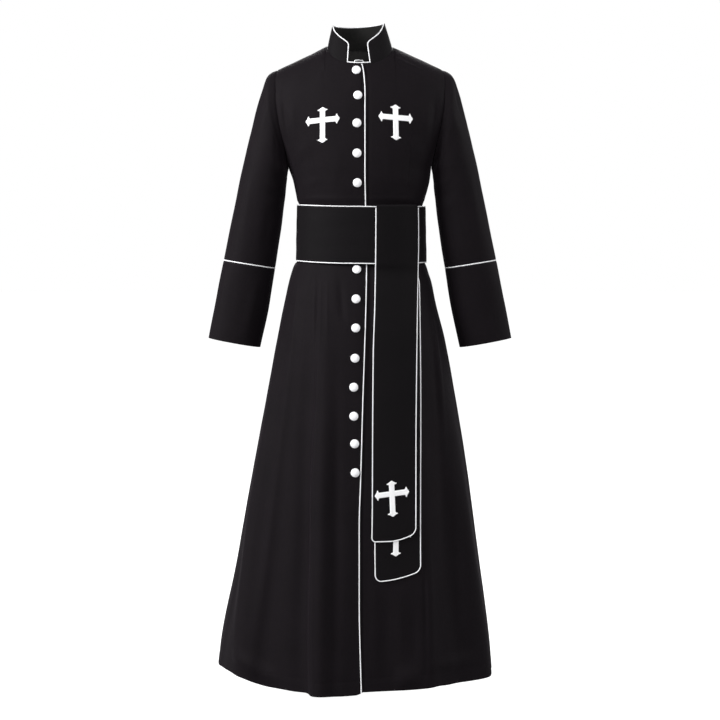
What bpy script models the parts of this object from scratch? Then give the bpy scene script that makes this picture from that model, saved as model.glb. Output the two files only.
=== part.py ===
"""A fitted, floor-length cassock with its cincture, standing open as it does on a wearer.

Frame: +X is the wearer's left, -Y the front, +Z up. The origin lies between the two points
where the collar meets the shoulder seams, which is where the wearer's neck and shoulders
carry the garment. Lengths are in metres.

The body is one smooth shell, read as body_point(u, level):
  u      runs round it: 0 centre front, +1 the wearer's left side, -1 the right side,
         +2 or -2 centre back;
  level  is the height from the hem up to the armpits, and above them a quarter turn
         that carries the cloth over the shoulder.
Every panel, piping, button, cross and strip is made from points of that shell, moved out.
"""
import math

import bmesh
import bpy
import numpy as np
from mathutils import Matrix, Vector

# ---- cloth and clearances -------------------------------------------------------------
WALL = 0.0015                 # suiting with its facing
STIFF_WALL = 0.0020           # collar and cincture band, interfaced
GAP = 0.0003                  # clear space left at every seam
SEAM_HALF = 0.0002            # half of the space between two panels
LAP = WALL + 0.0005           # height of the closing front over the other
LAP_START = -0.40             # u at which it starts to rise, and at which it has risen
LAP_END = -0.20
PIPING = 0.0018               # radius of the corded white piping
PIPE_REACH = PIPING + GAP     # from a cloth edge to the middle of its piping

# ---- shell ----------------------------------------------------------------------------
ARMPIT = -0.280
HEM = -1.447
NECK_HALF = 0.073             # half of the neck opening, at the shoulder seams
FRONT_NECK_DROP = 0.046
BACK_NECK_DROP = 0.002
NECK_POWER = 2.4
SHOULDER_FALL = 0.4615        # drop of the shoulder seam for each metre outwards
SHOULDER_ROUND = 0.020
YOKE_RISE = 0.36              # length of level that the quarter turn takes
YOKE_POWER = 2.3
SHOULDER_TURN = 0.9990        # share of the quarter turn at which the shoulder seam is sewn
ARMHOLE_FRONT = 0.062
ARMHOLE_BACK = 0.060
UNDERLAP = -0.030             # x of the edge that lies under the closing front
CLOSING_TOP = 0.0022          # level by which the closing piping stops short of the neckline
HEM_EASE = 0.30               # height over which the hem's own rise or fall fades out


class Table:
    """A short table with named columns, read on a smooth curve through its rows."""

    def __init__(self, columns, rows):
        data = np.array(rows, dtype=float)
        data = data[np.argsort(data[:, 0])]
        self.keys = data[:, 0]
        self.columns = dict(zip(columns.split()[1:], data.T[1:]))

    def at(self, column, key):
        """Cubic between rows. The slope at a row is the harmonic mean of those beside it, or
        level where they differ in sign, so that the curve never swings past its rows."""
        keys = self.keys
        values = self.columns[column]
        key = np.clip(np.asarray(key, dtype=float), keys[0], keys[-1])
        steps = np.diff(keys)
        slopes = np.diff(values) / steps
        before, after = slopes[:-1], slopes[1:]
        agree = before * after > 0
        inner = np.where(agree, 2 * before * after / np.where(agree, before + after, 1), 0)
        tangents = np.concatenate([slopes[:1], inner, slopes[-1:]])
        row = np.clip(np.searchsorted(keys, key, side="right") - 1, 0, len(steps) - 1)
        part = (key - keys[row]) / steps[row]
        start = (1 + 2 * part) * (1 - part) ** 2 * values[row]
        end = part ** 2 * (3 - 2 * part) * values[row + 1]
        bend = part * (1 - part) ** 2 * tangents[row] - part ** 2 * (1 - part) * tangents[row + 1]
        return start + end + bend * steps[row]


SECTIONS = Table("level half_right half_left front back power", [
    (-0.2800, 0.1640, 0.1640, 0.118, 0.102, 2.30),
    (-0.3046, 0.1550, 0.1610, 0.117, 0.099, 2.30),
    (-0.3300, 0.1495, 0.1550, 0.115, 0.095, 2.25),
    (-0.3500, 0.1450, 0.1490, 0.112, 0.091, 2.25),
    (-0.3680, 0.1392, 0.1438, 0.109, 0.088, 2.20),
    (-0.4300, 0.1403, 0.1440, 0.109, 0.088, 2.20),
    (-0.5000, 0.1425, 0.1457, 0.110, 0.090, 2.20),
    (-0.5180, 0.1550, 0.1560, 0.115, 0.101, 2.15),
    (-0.5400, 0.1640, 0.1655, 0.121, 0.112, 2.10),
    (-0.5819, 0.1740, 0.1740, 0.129, 0.124, 2.10),
    (-0.6748, 0.1928, 0.1975, 0.141, 0.142, 2.10),
    (-0.8147, 0.2188, 0.2235, 0.155, 0.160, 2.05),
    (-1.0020, 0.2545, 0.2540, 0.172, 0.180, 2.05),
    (-1.1904, 0.2879, 0.2786, 0.190, 0.200, 2.00),
    (-1.3799, 0.3239, 0.3028, 0.209, 0.218, 2.00),
    (-1.4470, 0.3325, 0.3077, 0.215, 0.224, 2.00),
])

ARMHOLE = Table("share half_width", [
    (0.00, 0.1640),
    (0.20, 0.1730),
    (0.45, 0.1855),
    (0.70, 0.1925),
    (0.88, 0.1935),
    (1.00, 0.1900),
])

HEM_RISE = Table("u rise", [
    (-2.00, 0.000),
    (-1.30, 0.010),
    (-1.00, 0.016),
    (-0.67, 0.0175),
    (-0.57, 0.0125),
    (-0.49, 0.0014),
    (-0.44, -0.0033),
    (-0.34, -0.0060),
    (-0.27, -0.0085),
    (-0.10, -0.0092),
    (-0.02, -0.0084),
    (0.02, -0.0026),
    (0.20, -0.0020),
    (0.38, 0.0010),
    (0.46, -0.0011),
    (0.66, -0.0010),
    (0.78, 0.0010),
    (0.87, 0.0056),
    (1.00, 0.0060),
    (1.40, 0.002),
    (2.00, 0.000),
])

# Soft ridges of the skirt. Each starts at its top level at u_top and runs down to the hem at
# u_low; it stands out by height at the hem. The widths are in u, on the side of the wearer's
# right and of the left, so that an unequal pair makes a fold that laps over its neighbour.
FOLDS = [dict(zip("u_top u_low top height right left".split(), row)) for row in [
    (-0.860, -0.585, -0.500, 0.017, 0.110, 0.090),
    (-0.330, -0.215, -0.520, 0.030, 0.014, 0.170),
    (-0.520, -0.440, -0.560, -0.010, 0.080, 0.080),
    (0.640, 0.760, -0.520, 0.014, 0.090, 0.100),
    (0.400, 0.330, -0.700, 0.010, 0.090, 0.060),
    (0.560, 0.520, -0.640, -0.008, 0.080, 0.080),
    (1.240, 1.270, -0.520, 0.018, 0.110, 0.110),
    (1.600, 1.640, -0.500, 0.020, 0.100, 0.100),
    (1.430, 1.455, -0.560, -0.010, 0.090, 0.090),
    (-1.230, -1.250, -0.540, 0.016, 0.110, 0.110),
    (-1.640, -1.650, -0.500, 0.021, 0.100, 0.100),
    (-1.440, -1.455, -0.560, -0.011, 0.090, 0.090),
    (2.000, 2.000, -0.520, 0.012, 0.080, 0.080),
    (-2.000, -2.000, -0.520, 0.012, 0.080, 0.080),
]]

FOLD_GROWTH = 1.15            # a ridge reaches its full height a little above the hem

PRINCESS = Table("level u", [
    (-1.4470, 0.450),
    (-0.5000, 0.460),
    (-0.2714, 0.432),
    (-0.2376, 0.420),
    (-0.1724, 0.502),
    (-0.1400, 0.660),
    (-0.1110, 1.000),
])
PRINCESS_TOP = -0.1110
PRINCESS_TIP = -0.1150        # the side panel ends here, where it is 3 mm wide

# x of the piping down the closing edge
CLOSING_EDGE = Table("level x", [
    (0.0100, 0.0008),
    (-0.0400, 0.0016),
    (-0.0550, 0.0050),
    (-0.0750, 0.0085),
    (-0.1100, 0.0113),
    (-0.2800, 0.0113),
    (-0.4900, 0.0150),
    (-0.5780, 0.0138),
    (-0.6680, 0.0112),
    (-0.7900, 0.0070),
    (-0.9640, 0.0020),
    (-1.0890, -0.0018),
    (-1.2460, -0.0018),
    (-1.4470, 0.0027),
])

# a line that the columns of a front follow, from the neck point to the fold beside it
NECK_GUIDE = Table("level right left", [
    (0.0800, 0.225, 0.225),
    (-0.2800, 0.270, 0.270),
    (-0.5200, 0.330, 0.330),
    (-0.8000, 0.296, 0.330),
    (-1.4470, 0.215, 0.330),
])

# ---- sleeves --------------------------------------------------------------------------
# The edges of the sleeve seen from the front, measured out from the middle of the garment,
# and half of its depth from front to back.
SLEEVE = Table("along outer_x outer_z inner_x inner_z half_depth", [
    (0.000, 0.1900, -0.0532, 0.1640, -0.2800, 0.0610),
    (0.035, 0.2045, -0.0600, 0.1652, -0.2830, 0.0625),
    (0.065, 0.2140, -0.0700, 0.1660, -0.2860, 0.0640),
    (0.115, 0.2232, -0.0980, 0.1668, -0.2905, 0.0655),
    (0.180, 0.2320, -0.1290, 0.1675, -0.2960, 0.0665),
    (0.260, 0.2440, -0.1700, 0.1684, -0.3040, 0.0660),
    (0.350, 0.2570, -0.2200, 0.1700, -0.3220, 0.0645),
    (0.450, 0.2700, -0.2750, 0.1735, -0.3530, 0.0625),
    (0.600, 0.2905, -0.3720, 0.1820, -0.4200, 0.0595),
    (0.750, 0.3150, -0.4890, 0.1960, -0.5080, 0.0555),
    (0.880, 0.3340, -0.5820, 0.2115, -0.6030, 0.0520),
    (1.000, 0.3512, -0.6690, 0.2310, -0.6910, 0.0490),
])
CUFF_SEAM = 0.750
SLEEVE_POWER = 2.15
CAP_FADE = 0.20               # share of the sleeve over which the armhole's own curve fades
ARMHOLE_GAP = 0.0005

# ---- collar ---------------------------------------------------------------------------
COLLAR_HEIGHT = 0.0485        # at centre back
# height of its edge over the share of its length, from the left front end round to the right
COLLAR_EDGE = Table("share height", [
    (0.000, 0.0478),
    (0.025, 0.0518),
    (0.070, 0.0556),
    (0.140, 0.0570),
    (0.240, 0.0554),
    (0.360, 0.0532),
    (0.450, 0.0512),
    (0.600, 0.0485),
    (0.830, 0.0478),
    (0.915, 0.0505),
    (0.955, 0.0494),
    (0.982, 0.0470),
    (1.000, 0.0446),
])
COLLAR_RIGHT_END = -0.0300
COLLAR_LEFT_END = 0.0245
COLLAR_LEAN = 0.175           # share by which the top is narrower than the neckline
COLLAR_SHIFT = -0.0022        # by which the top stands towards the wearer's right
COLLAR_CORNER = 0.006
COLLAR_BASE = 0.0006          # clear height between the neckline and the collar

# ---- cincture -------------------------------------------------------------------------
BAND_TOP = -0.3625
BAND_FOOT = -0.4905
BAND_SAG = 0.0075             # drop of the band at centre front
BAND_TILT = 0.024             # fall of the band towards the wearer's left
BAND_HALF_RIGHT = 0.1450
BAND_HALF_LEFT = 0.1508
BAND_FRONT = 0.1165
BAND_BACK = 0.0965
BAND_POWER = 2.20
BAND_FLARE = 0.020            # widening from the top edge to the foot, for each metre of height
STRIP_LIFT = 0.0031           # from the band's face to the middle of the strip folded over it
SKIRT_CLEAR = 0.0023          # from the skirt's face to the middle of the strip that lies on it
OVER_CLEAR = 0.0066           # and to the middle of the strip that lies on that one
STRIP_SETTLE = 0.0040         # softness of the bend where a strip leaves the band for the skirt
STRIP_RETURN = 0.6            # slope at which it falls back towards the skirt below the band

TAIL_FRONT = Table("level left_edge right_edge", [
    (-0.300, 0.0375, 0.1298),
    (-0.440, 0.0370, 0.1320),
    (-0.580, 0.0350, 0.1290),
    (-0.700, 0.0312, 0.1268),
    (-0.900, 0.0295, 0.1245),
    (-1.025, 0.0290, 0.1242),
    (-1.200, 0.0268, 0.1235),
])
TAIL_BACK = Table("level left_edge right_edge", [
    (-0.390, 0.0395, 0.1210),
    (-0.500, 0.0390, 0.1205),
    (-0.540, 0.0388, 0.1335),
    (-0.600, 0.0385, 0.1365),
    (-0.800, 0.0370, 0.1375),
    (-1.110, 0.0348, 0.1350),
    (-1.300, 0.0368, 0.1360),
])
TAIL_FRONT_FOOT = -1.1155
TAIL_BACK_FOOT = -1.2045
TAIL_BACK_HEAD = -0.3900
TAIL_WIDTH = 0.104            # measured across the flat strip
END_FADE = 6                  # power by which the shape of a strip's end fades along it
FOLD_RADIUS = STIFF_WALL / 2 + STRIP_LIFT
FOLD_RISE = PIPING + 3 * GAP + WALL / 2   # height of the fold over the band's top edge
FOLD_TUCK = 0.005             # how far the strip is turned down behind the band's top edge

# ---- trims ----------------------------------------------------------------------------
BUTTON_RADIUS = 0.0100
BUTTON_RISE = 0.0050
BUTTON_SIDES = 10
BUTTON_PROFILE = [(0.0, 1.0), (0.62, 0.84), (1.0, 0.36), (0.93, 0.0), (0.0, 0.0)]
BUTTONS = Table("count x height", [
    (1, -0.0081, -0.0623),
    (2, -0.0049, -0.1193),
    (3, -0.0068, -0.1818),
    (4, -0.0067, -0.2490),
    (5, -0.0060, -0.3150),
    (6, -0.0072, -0.5110),
    (7, -0.0088, -0.5762),
    (8, -0.0094, -0.6411),
    (9, -0.0112, -0.7086),
    (10, -0.0139, -0.7733),
    (11, -0.0139, -0.8380),
    (12, -0.0121, -0.8993),
    (13, -0.0110, -0.9639),
])

CROSS_ARM = 0.0066            # half width of an arm
CROSS_BARB = 0.0118           # half width over the barbs at its end
CROSS_SIDE = 0.0385
CROSS_UPPER = 0.0290
CROSS_LOWER = 0.0510
CROSS_WALL = 0.0010
CROSS_FACET = 0.018
# half of an arm's end: distance back from its point, and half width there
CROSS_END = [(0.0096, CROSS_ARM), (0.0084, CROSS_BARB), (0.0056, 0.0112), (0.0034, 0.0050),
             (0.0, 0.0)]
# place of the crossing, rise of the side arms and lean of the shaft (both as slopes)
CROSSES = {
    "cross_chest_right": (-0.0838, -0.1746, 0.085, 0.000),
    "cross_chest_left": (0.0802, -0.1688, -0.075, 0.020),
    "cross_tail_front": (0.0715, -1.0110, 0.110, 0.045),
    "cross_tail_back": (0.0805, -1.1000, 0.040, -0.010),
}
CROSS_LIFT = 0.0004
HOOK_X = -0.0025
HOOK_BACK = 0.0050            # from the neckline's edge back to the hook
HOOK_WIRE = 0.0008            # radius of the wire
HOOK_LOOP = 0.0024
HOOK_REACH = 0.0092           # from the middle of the pair out to a bend
HOOK_ARM = 0.0030             # length of the lower arm
HOOK_OVER = 0.0018            # reach of the upper arm past the middle

# ---- mesh density ---------------------------------------------------------------------
SKIRT_ROWS = [HEM, -1.390, -1.320, -1.240, -1.160, -1.080, -1.000, -0.920, -0.845, -0.775,
              -0.710, -0.650, -0.600, -0.560, -0.536, -0.518, -0.500, -0.430, -0.368, -0.350,
              -0.330, -0.305]
YOKE_ROWS = 9
SEAM_ROW = (PRINCESS_TOP - ARMPIT) / YOKE_RISE
ROW_CLEAR = 0.04              # least share between the princess seam's end and other rows
FRONT_COLUMNS = (7, 4)
SIDE_COLUMNS = 6
BACK_COLUMNS = (7, 5)
NECK_SAMPLES = 120            # points of the line that is read as one quarter of the neckline
SLEEVE_COLUMNS = 18
SLEEVE_ROWS = [0.0, 0.035, 0.065, 0.115, 0.18, 0.26, 0.35, 0.45, 0.55, 0.65]
CUFF_ROWS = 4
BAND_COLUMNS = 40
TAIL_COLUMNS = 7
END_CLEAR = 0.020             # least height of a strip's first and last rows

BLACK_CLOTH = ("black_cloth", (0.0115, 0.0105, 0.0125, 1), 0.82, 0.0)
WHITE_TRIM = ("white_trim", (0.86, 0.86, 0.88, 1), 0.55, 0.0)
BRIGHT_WIRE = ("bright_wire", (0.78, 0.78, 0.80, 1), 0.28, 1.0)


# =========================================================================================
# Surfaces
# =========================================================================================
def smooth_step(value):
    """0 below 0, 1 above 1, with level ends."""
    value = np.clip(value, 0.0, 1.0)
    return value * value * (3 - 2 * value)


def shoulder_height(x):
    """Height of the shoulder seam over x, rounded over the neck."""
    return SHOULDER_FALL * (math.hypot(NECK_HALF, SHOULDER_ROUND) - np.hypot(x, SHOULDER_ROUND))


def fold_relief(u, level):
    """Sum of the skirt's ridges: each a bell across, growing from its top to the hem."""
    relief = np.zeros(np.broadcast(u, level).shape)
    for fold in FOLDS:
        run = np.clip((fold["top"] - level) / (fold["top"] - HEM), 0, 1)
        offset = u - (fold["u_top"] + (fold["u_low"] - fold["u_top"]) * run)
        width = np.where(offset > 0, fold["left"], fold["right"])
        growth = smooth_step(run * FOLD_GROWTH)
        relief = relief + fold["height"] * growth * np.exp(-(offset / width) ** 2)
    return relief


def body_point(u, level):
    """A point of the shell. Round the body it is a superellipse with its own half widths and
    depths. Above the armpits the depth shrinks along a quarter of a superellipse up to the
    shoulder seam, while the open edge keeps the depth of the armhole's oval."""
    u, level = np.broadcast_arrays(np.asarray(u, float), np.asarray(level, float))
    front = np.abs(u) <= 1
    turn = np.where(front, np.abs(u), 2 - np.abs(u)) * math.pi / 2
    side = np.where(u < 0, -1.0, 1.0)
    low = np.minimum(level, ARMPIT)
    power = SECTIONS.at("power", low)
    half = np.where(side < 0, SECTIONS.at("half_right", low), SECTIONS.at("half_left", low))
    depth = np.where(front, SECTIONS.at("front", low), SECTIONS.at("back", low))

    rise = np.clip((level - ARMPIT) / YOKE_RISE, 0, 1) * math.pi / 2
    share = np.sin(rise) ** (2 / YOKE_POWER)
    half = np.where(level > ARMPIT, ARMHOLE.at("half_width", share), half)
    armhole = np.where(front, ARMHOLE_FRONT, ARMHOLE_BACK)
    open_edge = armhole * 2 * np.sqrt(np.clip(share * (1 - share), 0, None))
    middle = depth * np.clip(np.cos(rise), 0, None) ** (2 / YOKE_POWER)

    across = np.clip(np.sin(turn), 0, 1) ** (2 / power)
    reach = (middle ** power * np.cos(turn) ** 2 + open_edge ** power * np.sin(turn) ** 2)
    x = side * half * across
    y = np.where(front, -1.0, 1.0) * reach ** (1 / power)
    over = ARMPIT + share * (shoulder_height(x) - ARMPIT)
    hem = HEM_RISE.at("rise", u) * smooth_step(1 - (level - HEM) / HEM_EASE)
    z = np.where(level > ARMPIT, over, level + hem)

    out = np.hypot(x / half ** 2, y / depth ** 2)
    relief = fold_relief(u, level)
    x = x + relief * x / half ** 2 / out
    y = y + relief * y / depth ** 2 / out
    return np.stack([x, y, z], axis=-1)


def normals(surface, u, v, outward=1.0, step=1e-4, low=-np.inf, high=np.inf):
    """Unit normals of surface(u, v) from differences over a small step."""
    u, v = np.broadcast_arrays(np.asarray(u, float), np.asarray(v, float))
    along_u = surface(u + step, v) - surface(u - step, v)
    along_v = surface(u, np.minimum(v + step, high)) - surface(u, np.maximum(v - step, low))
    normal = np.cross(along_u, along_v) * outward
    return normal / np.linalg.norm(normal, axis=-1, keepdims=True)


def body_normal(u, level):
    return normals(body_point, u, level, low=HEM, high=ARMPIT + YOKE_RISE)


def on_body(u, level, lift=0.0):
    """A point lifted off the shell along its normal."""
    return body_point(u, level) + body_normal(u, level) * np.asarray(lift)[..., None]


def u_of_x(x, level):
    """The u, on the front, at which the shell has this x."""
    x, level = np.broadcast_arrays(np.asarray(x, float), np.asarray(level, float))
    reach = np.abs(body_point(np.where(x < 0, -1.0, 1.0), level)[..., 0])
    power = SECTIONS.at("power", np.minimum(level, ARMPIT))
    u = np.sign(x) * np.arcsin(np.clip(np.abs(x) / reach, 0, 1) ** (power / 2)) * 2 / math.pi
    for _ in range(6):
        slope = (body_point(u + 1e-3, level)[..., 0] - body_point(u - 1e-3, level)[..., 0]) / 2e-3
        u = u + (x - body_point(u, level)[..., 0]) / slope
    return u


def level_of_height(x, z):
    """The level at which the front of the shell passes through height z at x."""
    share = np.clip((z - ARMPIT) / (shoulder_height(x) - ARMPIT), 0, 1)
    rise = np.arcsin(share ** (YOKE_POWER / 2)) * 2 / math.pi
    return np.where(z > ARMPIT, ARMPIT + YOKE_RISE * rise, z)


def u_spacing(level):
    """Half a seam's gap, in u."""
    low = np.minimum(level, ARMPIT)
    quarter = math.pi / 4 * (SECTIONS.at("half_left", low) + SECTIONS.at("front", low))
    return SEAM_HALF / quarter


def neckline(x, back=False):
    """(u, level) of the neck opening's edge at x, measured on the front or the back."""
    drop = BACK_NECK_DROP if back else FRONT_NECK_DROP
    share_x = np.clip(np.abs(x) / NECK_HALF, 0, 1)
    z = -drop * (1 - share_x ** NECK_POWER) ** (1 / NECK_POWER)
    share = np.clip((z - ARMPIT) / (shoulder_height(x) - ARMPIT), 0, 1)
    level = ARMPIT + YOKE_RISE * np.arcsin(share ** (YOKE_POWER / 2)) * 2 / math.pi
    power = SECTIONS.at("power", ARMPIT)
    across = (np.abs(x) / ARMHOLE.at("half_width", share)) ** (power / 2)
    turn = np.arcsin(np.clip(across, 0, 1)) * 2 / math.pi
    turn = 2 - turn if back else turn
    return np.where(x < 0, -turn, turn), level


NECK_STEPS = np.sin(np.linspace(0, math.pi / 2, NECK_SAMPLES)) * NECK_HALF
FRONT_NECK = neckline(NECK_STEPS)
BACK_NECK = neckline(NECK_STEPS, back=True)
SHOULDER_LEVEL = ARMPIT + YOKE_RISE * SHOULDER_TURN
NECK_U = float(FRONT_NECK[0][-1])


def top_level(turn, back=False):
    """Level of a panel's upper edge: the neckline, then the shoulder seam."""
    neck_turn, neck_level = BACK_NECK if back else FRONT_NECK
    neck_turn = 2 - neck_turn if back else neck_turn
    return np.minimum(np.interp(np.abs(turn), neck_turn, neck_level), SHOULDER_LEVEL)


# =========================================================================================
# Building blocks
# =========================================================================================
def finish(name, collection, obj, colour):
    """Names the object, gives it its material and puts it in the collection."""
    label, base, rough, metal = colour
    material = bpy.data.materials.new(name + "_" + label)
    material.use_nodes = True
    shader = material.node_tree.nodes["Principled BSDF"]
    shader.inputs["Base Color"].default_value = base
    shader.inputs["Roughness"].default_value = rough
    shader.inputs["Metallic"].default_value = metal
    material.diffuse_color = base
    obj.data.materials.clear()
    obj.data.materials.append(material)
    obj.name = name
    for other in list(obj.users_collection):
        other.objects.unlink(obj)
    collection.objects.link(obj)
    return obj


def cloth_wall(name, collection, outer, inner, colour, ring=False):
    """A closed wall lofted between two grids of points, outer and inner, of rows by columns.
    A ring joins its last column to its first."""
    rows, columns = outer.shape[:2]
    index = np.arange(rows * columns).reshape(rows, columns)
    if ring:
        index = np.hstack([index, index[:, :1]])
    shift = rows * columns
    quads = np.stack([index[:-1, :-1], index[:-1, 1:], index[1:, 1:], index[1:, :-1]], -1)
    outside = quads.reshape(-1, 4)
    foot = np.stack([index[0, 1:], index[0, :-1]], -1)
    head = np.stack([index[-1, :-1], index[-1, 1:]], -1)
    rims = [foot, head]
    if not ring:
        rims.append(np.stack([index[:-1, 0], index[1:, 0]], -1))
        rims.append(np.stack([index[1:, -1], index[:-1, -1]], -1))
    edges = np.vstack(rims)
    rim = np.stack([edges[:, 0], edges[:, 1], edges[:, 1] + shift, edges[:, 0] + shift], -1)
    faces = np.vstack([outside, (outside + shift)[:, ::-1], rim])
    points = np.vstack([outer.reshape(-1, 3), inner.reshape(-1, 3)])
    mesh = bpy.data.meshes.new(name)
    mesh.from_pydata(points.tolist(), [], faces.tolist())
    mesh.validate()
    form = bmesh.new()
    form.from_mesh(mesh)
    bmesh.ops.recalc_face_normals(form, faces=form.faces)
    if form.calc_volume(signed=True) < 0:
        bmesh.ops.reverse_faces(form, faces=form.faces)
    form.to_mesh(mesh)
    form.free()
    mesh.shade_smooth()
    mesh.set_sharp_from_angle(angle=math.radians(50))
    return finish(name, collection, bpy.data.objects.new(name, mesh), colour)


def piping(name, collection, path, ring=False, radius=PIPING, colour=WHITE_TRIM, sides=1):
    """A cord along a path of points, as a bevelled curve with closed ends."""
    curve = bpy.data.curves.new(name, "CURVE")
    curve.dimensions = "3D"
    curve.bevel_depth = radius
    curve.bevel_resolution = sides
    curve.use_fill_caps = not ring
    spline = curve.splines.new("POLY")
    spline.points.add(len(path) - 1)
    spline.points.foreach_set("co", np.hstack([path, np.ones((len(path), 1))]).ravel())
    spline.use_cyclic_u = ring
    spline.use_smooth = True
    return finish(name, collection, bpy.data.objects.new(name, curve), colour)


def spread(guides, counts):
    """Columns between successive guide lines, each pair split evenly."""
    parts = []
    for left, right, count in zip(guides, guides[1:], counts):
        parts.append(left + (right - left) * np.arange(count) / count)
    parts.append(guides[-1:])
    return np.concatenate(parts)


# =========================================================================================
# Body panels
# =========================================================================================
def panel(name, collection, guide_lines, counts, lift=None, back=False, last_level=None):
    """A body panel. guide_lines are functions of level that give u from one seam to the
    other; the columns keep their shares between them from the hem to the upper edge."""
    rows_u = [spread(np.array([g(level) for g in guide_lines]), counts) for level in SKIRT_ROWS]
    rows_level = [np.full(len(rows_u[0]), level) for level in SKIRT_ROWS]
    shares = set(np.linspace(0, 1, YOKE_ROWS + 1))
    if not back:
        shares = {s for s in shares if abs(s - SEAM_ROW) > ROW_CLEAR} | {SEAM_ROW}
    crown = ARMPIT + YOKE_RISE
    if last_level is not None:
        end = (last_level - ARMPIT) / YOKE_RISE
        shares = {s for s in shares if s < end - ROW_CLEAR / 4} | {end}
        top = np.full(len(rows_u[0]), crown)
    else:
        top = top_level(turn_of(spread(np.array([g(crown) for g in guide_lines]), counts)), back)
    for share in sorted(shares):
        line = spread(np.array([g(ARMPIT + YOKE_RISE * share) for g in guide_lines]), counts)
        rows_u.append(line)
        rows_level.append(ARMPIT + share * (top - ARMPIT))
    u = np.array(rows_u)
    level = np.array(rows_level)
    normal = body_normal(u, level)
    outer = body_point(u, level)
    if lift is not None:
        outer = outer + normal * lift(u)[..., None]
    return cloth_wall(name, collection, outer, outer - normal * WALL, BLACK_CLOTH)


def turn_of(u):
    """Distance in u from centre front or, past the sides, from centre back."""
    return np.where(np.abs(u) <= 1, np.abs(u), 2 - np.abs(u))


def closing_lift(u):
    """The closing front rises over the other before it reaches its edge."""
    return LAP * smooth_step((u - LAP_START) / (LAP_END - LAP_START))


def princess(level):
    """u of the seam from the armhole to the hem, and above it the armhole."""
    return 1.0 if level >= PRINCESS_TOP else float(PRINCESS.at("u", level))


def closing_edge_u(level, beside=0.0):
    """u of the closing front's piping, or of a line beside it."""
    top = min(level, float(FRONT_NECK[1][0]))
    x = float(CLOSING_EDGE.at("x", level if level < ARMPIT else edge_height(level)))
    return float(u_of_x(x + beside, top))


def edge_height(level):
    """Height of the shell at centre front for a level of the yoke."""
    return float(body_point(0.0, min(level, float(FRONT_NECK[1][0])))[2])


def make_fronts(collection):
    """Both fronts, from the closing edge or the underlap to the princess seam."""
    cut = PIPE_REACH

    def right_edge(level):
        return closing_edge_u(level, -cut)

    def underlap(level):
        return float(u_of_x(UNDERLAP, min(level, float(FRONT_NECK[1][0]))))

    def guide(column, sign):
        return lambda level: sign * guide_u(column, level)

    def outer_seam(sign):
        return lambda level: sign * (princess(level) - u_spacing(level))

    panel("front_right", collection, [right_edge, guide("right", -1), outer_seam(-1)],
          FRONT_COLUMNS, lift=closing_lift)
    panel("front_left", collection, [underlap, guide("left", 1), outer_seam(1)],
          (FRONT_COLUMNS[0] + 1, FRONT_COLUMNS[1]))


def guide_u(column, level):
    """u of the inner guide of a front; it meets the neck point at the top."""
    if level >= ARMPIT + YOKE_RISE * 0.999:
        return NECK_U
    return float(NECK_GUIDE.at(column, level))


def make_sides(collection):
    """The side panels of the front, from the princess seam to the side seam and armhole."""
    for name, sign in (("side_front_right", -1), ("side_front_left", 1)):
        def inner(level, sign=sign):
            return sign * (float(PRINCESS.at("u", level)) + u_spacing(level))

        def outer(level, sign=sign):
            return sign * (1 - u_spacing(level))
        panel(name, collection, [inner, outer], (SIDE_COLUMNS,), last_level=PRINCESS_TIP)


def make_backs(collection):
    """The two backs, from the side seam and armhole to the seam down centre back."""
    neck = 2 - NECK_U
    for name, sign in (("back_right", -1), ("back_left", 1)):
        def side(level, sign=sign):
            return sign * (1 + u_spacing(level))

        def guide(level, sign=sign):
            return sign * neck

        def centre(level, sign=sign):
            return sign * (2 - u_spacing(level))
        panel(name, collection, [side, guide, centre], BACK_COLUMNS, back=True)


# =========================================================================================
# Sleeves
# =========================================================================================
def armhole_point(angle):
    """The armhole's edge on the shell: angle 0 at the shoulder, a quarter turn at the front."""
    share = (1 + np.cos(angle)) / 2
    level = ARMPIT + YOKE_RISE * np.arcsin(np.clip(share, 0, 1) ** (YOKE_POWER / 2)) * 2 / math.pi
    front = np.sin(angle) >= 0
    return body_point(np.where(front, 1.0, 1.0 + 1e-9), level)


def sleeve_point(angle, along):
    """A point of the wearer's left sleeve. Its ring is a superellipse between the outer and
    inner edges; next to the armhole it takes the armhole's own curve."""
    angle, along = np.broadcast_arrays(np.asarray(angle, float), np.asarray(along, float))
    columns = {key: SLEEVE.at(key, along) for key in SLEEVE.columns}
    outer = np.stack([columns["outer_x"], 0 * along, columns["outer_z"]], -1)
    inner = np.stack([columns["inner_x"], 0 * along, columns["inner_z"]], -1)
    wide = np.sign(np.cos(angle)) * np.abs(np.cos(angle)) ** (2 / SLEEVE_POWER)
    deep = np.sign(np.sin(angle)) * np.abs(np.sin(angle)) ** (2 / SLEEVE_POWER)
    ring = (outer + inner) / 2 + (outer - inner) / 2 * wide[..., None]
    ring[..., 1] -= columns["half_depth"] * deep
    share = 1 - smooth_step(along / CAP_FADE)
    return ring + (armhole_point(angle) - armhole_ring(angle)) * share[..., None]


def armhole_ring(angle):
    """The plain ring that the first row of the sleeve's table gives."""
    first = {key: values[0] for key, values in SLEEVE.columns.items()}
    wide = np.sign(np.cos(angle)) * np.abs(np.cos(angle)) ** (2 / SLEEVE_POWER)
    deep = np.sign(np.sin(angle)) * np.abs(np.sin(angle)) ** (2 / SLEEVE_POWER)
    middle_x = (first["outer_x"] + first["inner_x"]) / 2
    middle_z = (first["outer_z"] + first["inner_z"]) / 2
    x = middle_x + (first["outer_x"] - first["inner_x"]) / 2 * wide
    z = middle_z + (first["outer_z"] - first["inner_z"]) / 2 * wide
    return np.stack([x, -first["half_depth"] * deep, z], -1)


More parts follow.
